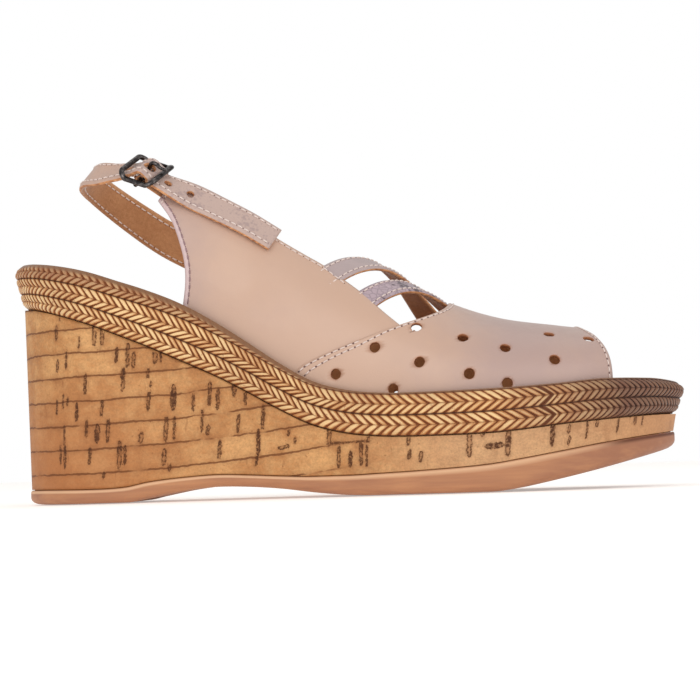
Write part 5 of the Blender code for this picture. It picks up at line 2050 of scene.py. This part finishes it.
def build_heel_strap():
    """Slingback strap: ribbed nude leather round the heel, flecked from the buckle to its free end."""
    sizes, colours = groups()
    count, columns = STRAP_MESH
    points, normals = strap_path(count)
    travel = travel_of(points)
    root = np.clip(1 - travel / (STRAP_TAPER_SHARE * travel[-1]), 0, 1)
    width = STRAP_WIDTH + (STRAP_ROOT_WIDTH - STRAP_WIDTH) * root
    grid = ribbon(points, normals, width, columns)
    centre, forward, _, _ = buckle_axes()
    passed = (points - centre) @ forward
    tail = np.arange(count) > np.argmin(points[:, 0])
    prong_travel = np.interp(PRONG_FORWARD, passed[tail], travel[tail])
    holes = []
    for number in range(STRAP_HOLES):
        at = prong_travel + (number - PRONG_HOLE) * STRAP_HOLE_PITCH
        radius = PRONG_HOLE_RADIUS if number == PRONG_HOLE else STRAP_HOLE_RADIUS
        holes.append((sample(at, travel, points), unit(sample(at, travel, normals)), radius))
    flecked = travel > prong_travel - BUCKLE_HALF_LENGTH - 1.5
    looks = [ribbed_leather(colours), lining(colours), cut_edge(colours)]
    looks += [flecked_leather(colours), lining(colours), cut_edge(colours)]
    across = np.linspace(-0.5, 0.5, columns)
    uv = np.dstack(np.broadcast_arrays(travel[:, None], across * width[:, None]))
    leather_piece("slingback", grid, STRAP_THICKNESS, looks, "heel_strap", holes, 3 * flecked[:-1], uv)
    rows = []
    for view, turn in ((grid, 1), (grid[:, ::-1], -1)):
        row = inside_edge(view, STRAP_SEAM, 0.0)
        out = turn * row.normals
        clear = (travel > 1.2) & (travel < travel[-1] - 1.2)
        for face in (1, -1):
            rows.append(some_of(Row(row.points + face * STRAP_THICKNESS / 2 * out, face * out), clear))
    stitches("slingback_seams", rows, sizes, colours)


def build_buckle_tab():
    """Leather loop from inside the quarter round the buckle's bar."""
    _, colours = groups()
    points, normals = strap_rows(TAB_ROWS, -1)
    radius = BAR_RADIUS + SEAT_GAP + TAB_THICKNESS / 2
    turns = np.radians(np.linspace(TAB_TURN_START, TAB_TURN_END, 9))
    centre, forward, _, outward = buckle_axes()
    spokes = np.cos(turns)[:, None] * forward + np.sin(turns)[:, None] * outward
    points = np.concatenate((points, centre + radius * spokes))
    normals = np.concatenate((normals, -spokes))
    path = smooth_rows(np.column_stack((points, normals)), TAB_MESH[0])
    grid = ribbon(path[:, :3], unit(path[:, 3:]), TAB_WIDTH, TAB_MESH[1])
    looks = [lining(colours), nude_leather(colours), cut_edge(colours)]
    leather_piece("buckle_loop", grid, TAB_THICKNESS, looks, "buckle_tab")


def tube(path, aside, outward, wide, tall, closed):
    """Grid of a bar along a path: an ellipse of half width wide and half height tall, capped by points."""
    turn = np.linspace(0, 2 * math.pi, TUBE_SIDES + 1)
    wide = np.broadcast_to(wide, len(path))[:, None, None]
    tall = np.broadcast_to(tall, len(path))[:, None, None]
    grid = path[:, None, :] + wide * np.cos(turn)[None, :, None] * aside[:, None, :]
    grid = grid + tall * np.sin(turn)[None, :, None] * outward[:, None, :]
    if closed:
        return np.concatenate((grid, grid[:1]))
    ends = [np.broadcast_to(path[k], (1, turn.size, 3)) for k in (0, -1)]
    return np.concatenate((ends[0], grid, ends[1]))


def build_buckle():
    """Bowed frame with a centre bar, thicker at its front bar, and the tapered prong over the strap."""
    _, colours = groups()
    centre, forward, across, outward = buckle_axes()
    axes = np.stack((forward, across, outward))
    turn = np.radians(np.arange(0, 360, 4))
    straight = np.array([BUCKLE_HALF_LENGTH - BUCKLE_CORNER, BUCKLE_HALF_WIDTH - BUCKLE_CORNER])
    corner = np.stack((np.cos(turn), np.sin(turn)), axis=1)
    flat = corner * BUCKLE_CORNER + np.sign(np.round(corner, 6)) * straight
    bow = BUCKLE_BOW * (flat[:, 0] / BUCKLE_HALF_LENGTH) ** 2
    loop = centre + np.column_stack((flat, bow)) @ axes
    way = unit(np.roll(loop, -1, axis=0) - np.roll(loop, 1, axis=0))
    up = unit(outward - way * (way @ outward)[:, None])
    front = ease(flat[:, 0], 2.0, 6.0)
    wide, tall = BUCKLE_WIRE * (1 + 0.15 * front), BUCKLE_WIRE * (1 - 0.2 * front)
    ring = tube(loop, np.cross(way, up), up, wide, tall, True)
    reach = np.linspace(-1, 1, BAR_POINTS) * (BUCKLE_HALF_WIDTH - 0.2)
    bar_path = centre + reach[:, None] * across
    ahead = np.broadcast_to(forward, bar_path.shape)
    above = np.broadcast_to(outward, bar_path.shape)
    bar = tube(bar_path, ahead, above, BAR_RADIUS * 0.9, BAR_RADIUS * 0.9, False)
    metal = [gunmetal(colours)]
    mesh = close_mesh(patch_mesh("buckle_frame_look", [Patch(ring), Patch(bar)]))
    place_piece("buckle", mesh, metal, "gunmetal", "buckle_frame")
    knots = centre + np.array([(point.forward, 0.0, point.out) for point in PRONG]) @ axes
    spine = smooth_rows(knots, PRONG_POINTS)
    way = unit(np.gradient(spine, axis=0))
    flat_side = np.broadcast_to(across, spine.shape)
    radius = PRONG_RADIUS * (1 - 0.3 * ease(np.linspace(0, 1, PRONG_POINTS), 0.6, 1.0))
    prong = tube(spine, flat_side, unit(np.cross(way, flat_side)), radius, radius, False)
    mesh = close_mesh(patch_mesh("buckle_prong_look", [Patch(prong)]))
    place_piece("prong", mesh, metal, "gunmetal", "buckle_prong")


# Stage

def build_stage():
    """Pale floor, white surroundings, three soft lights and a camera just above the floor."""
    stage = bpy.context.scene.sandal_stage
    flat = np.linspace(-FLOOR_HALF, FLOOR_HALF, 3)
    x, y = np.meshgrid(flat, flat, indexing="ij")
    grid = np.dstack((x, y, np.full(x.shape, -FLOOR_DROP)))
    floor = bpy.data.objects.new("floor", patch_mesh("floor", [Patch(grid)]))
    floor.data.materials.append(floor_paint(stage))
    bpy.context.scene.collection.objects.link(floor)
    world = bpy.data.worlds.new("studio")
    world.use_nodes = True
    bpy.context.scene.world = world
    shader = Shader(world.node_tree)
    seen = shader.node("ShaderNodeBackground", None, {"Color": (1.0, 1.0, 1.0, 1.0), "Strength": 1.0})
    warm = {"Color": (1.0, 0.98, 0.96, 1.0), "Strength": stage.sky}
    glow = shader.node("ShaderNodeBackground", None, warm)
    camera_ray = shader.node("ShaderNodeLightPath")
    both = shader.node("ShaderNodeMixShader", None, (camera_ray, glow, seen))
    shader.node("ShaderNodeOutputWorld", None, {"Surface": both})
    for light in LIGHTS:
        lamp = bpy.data.lights.new(light.name + "_light", "AREA")
        lamp.energy = getattr(stage, light.name)
        lamp.size = light.size
        holder = bpy.data.objects.new(lamp.name, lamp)
        holder.location = light.place
        holder.rotation_mode = "QUATERNION"
        holder.rotation_quaternion = (Vector(LIGHT_AIM) - Vector(light.place)).to_track_quat("-Z", "Y")
        bpy.context.scene.collection.objects.link(holder)
    lens = bpy.data.cameras.new("camera")
    lens.lens = stage.camera_lens
    lens.clip_start = 0.01
    camera = bpy.data.objects.new("camera", lens)
    aim = Vector(stage.aim)
    turn = stage.camera_azimuth
    camera.location = (aim.x + stage.camera_distance * math.sin(turn),
                       aim.y - stage.camera_distance * math.cos(turn),
                       stage.camera_height)
    camera.rotation_mode = "QUATERNION"
    ahead = (aim - camera.location).to_track_quat("-Z", "Y")
    camera.rotation_quaternion = ahead @ Quaternion((0, 0, 1), stage.camera_roll)
    bpy.context.scene.collection.objects.link(camera)
    bpy.context.scene.camera = camera
    bpy.context.scene.view_settings.view_transform = "Standard"


# Operators, panel and registration

class SANDAL_OT_outsole(bpy.types.Operator):
    """Make the rubber unit and its treads"""

    bl_idname = "sandal.outsole"
    bl_label = "Outsole"

    def execute(self, context):
        build_outsole()
        build_tread()
        return {"FINISHED"}


class SANDAL_OT_cork_wedge(bpy.types.Operator):
    """Make the cork-covered wedge"""

    bl_idname = "sandal.cork_wedge"
    bl_label = "Cork wedge"

    def execute(self, context):
        build_cork_wedge()
        return {"FINISHED"}


class SANDAL_OT_braid_rand(bpy.types.Operator):
    """Make the braid strip round the top of the wedge"""

    bl_idname = "sandal.braid_rand"
    bl_label = "Braid rand"

    def execute(self, context):
        build_braid_rand()
        return {"FINISHED"}


class SANDAL_OT_insole(bpy.types.Operator):
    """Make the foot-bed"""

    bl_idname = "sandal.insole"
    bl_label = "Insole"

    def execute(self, context):
        build_insole()
        return {"FINISHED"}


class SANDAL_OT_upper(bpy.types.Operator):
    """Make the quarters, the vamp and the instep straps with their seams"""

    bl_idname = "sandal.upper"
    bl_label = "Upper"

    def execute(self, context):
        build_quarters()
        build_vamp()
        build_instep_straps()
        return {"FINISHED"}


class SANDAL_OT_slingback(bpy.types.Operator):
    """Make the slingback strap with its seams"""

    bl_idname = "sandal.slingback"
    bl_label = "Slingback"

    def execute(self, context):
        build_heel_strap()
        return {"FINISHED"}


class SANDAL_OT_buckle(bpy.types.Operator):
    """Make the buckle, its prong and the leather loop that holds it"""

    bl_idname = "sandal.buckle"
    bl_label = "Buckle"

    def execute(self, context):
        build_buckle_tab()
        build_buckle()
        return {"FINISHED"}


class SANDAL_OT_stage(bpy.types.Operator):
    """Make the floor, the lights and the camera"""

    bl_idname = "sandal.stage"
    bl_label = "Stage"

    def execute(self, context):
        build_stage()
        return {"FINISHED"}


OPERATORS = (
    SANDAL_OT_outsole,
    SANDAL_OT_cork_wedge,
    SANDAL_OT_braid_rand,
    SANDAL_OT_insole,
    SANDAL_OT_upper,
    SANDAL_OT_slingback,
    SANDAL_OT_buckle,
    SANDAL_OT_stage,
)


class SANDAL_PT_panel(bpy.types.Panel):
    """Pieces of the sandal"""

    bl_label = "Sandal"
    bl_idname = "SANDAL_PT_panel"
    bl_space_type = "VIEW_3D"
    bl_region_type = "UI"
    bl_category = "Sandal"

    def draw(self, context):
        for operator in OPERATORS:
            self.layout.operator(operator.bl_idname)


GROUPS = {
    "sandal_sizes": SandalSizes,
    "sandal_colours": SandalColours,
    "sandal_stage": SandalStage,
}
CLASSES = (*GROUPS.values(), *OPERATORS, SANDAL_PT_panel)


def register():
    for cls in CLASSES:
        bpy.utils.register_class(cls)
    for name, group in GROUPS.items():
        setattr(bpy.types.Scene, name, PointerProperty(type=group))


def unregister():
    for name in GROUPS:
        delattr(bpy.types.Scene, name)
    for cls in reversed(CLASSES):
        bpy.utils.unregister_class(cls)


def main():
    register()
    for operator in OPERATORS:
        package, name = operator.bl_idname.split(".")
        getattr(getattr(bpy.ops, package), name)()


if __name__ == "__main__":
    main()
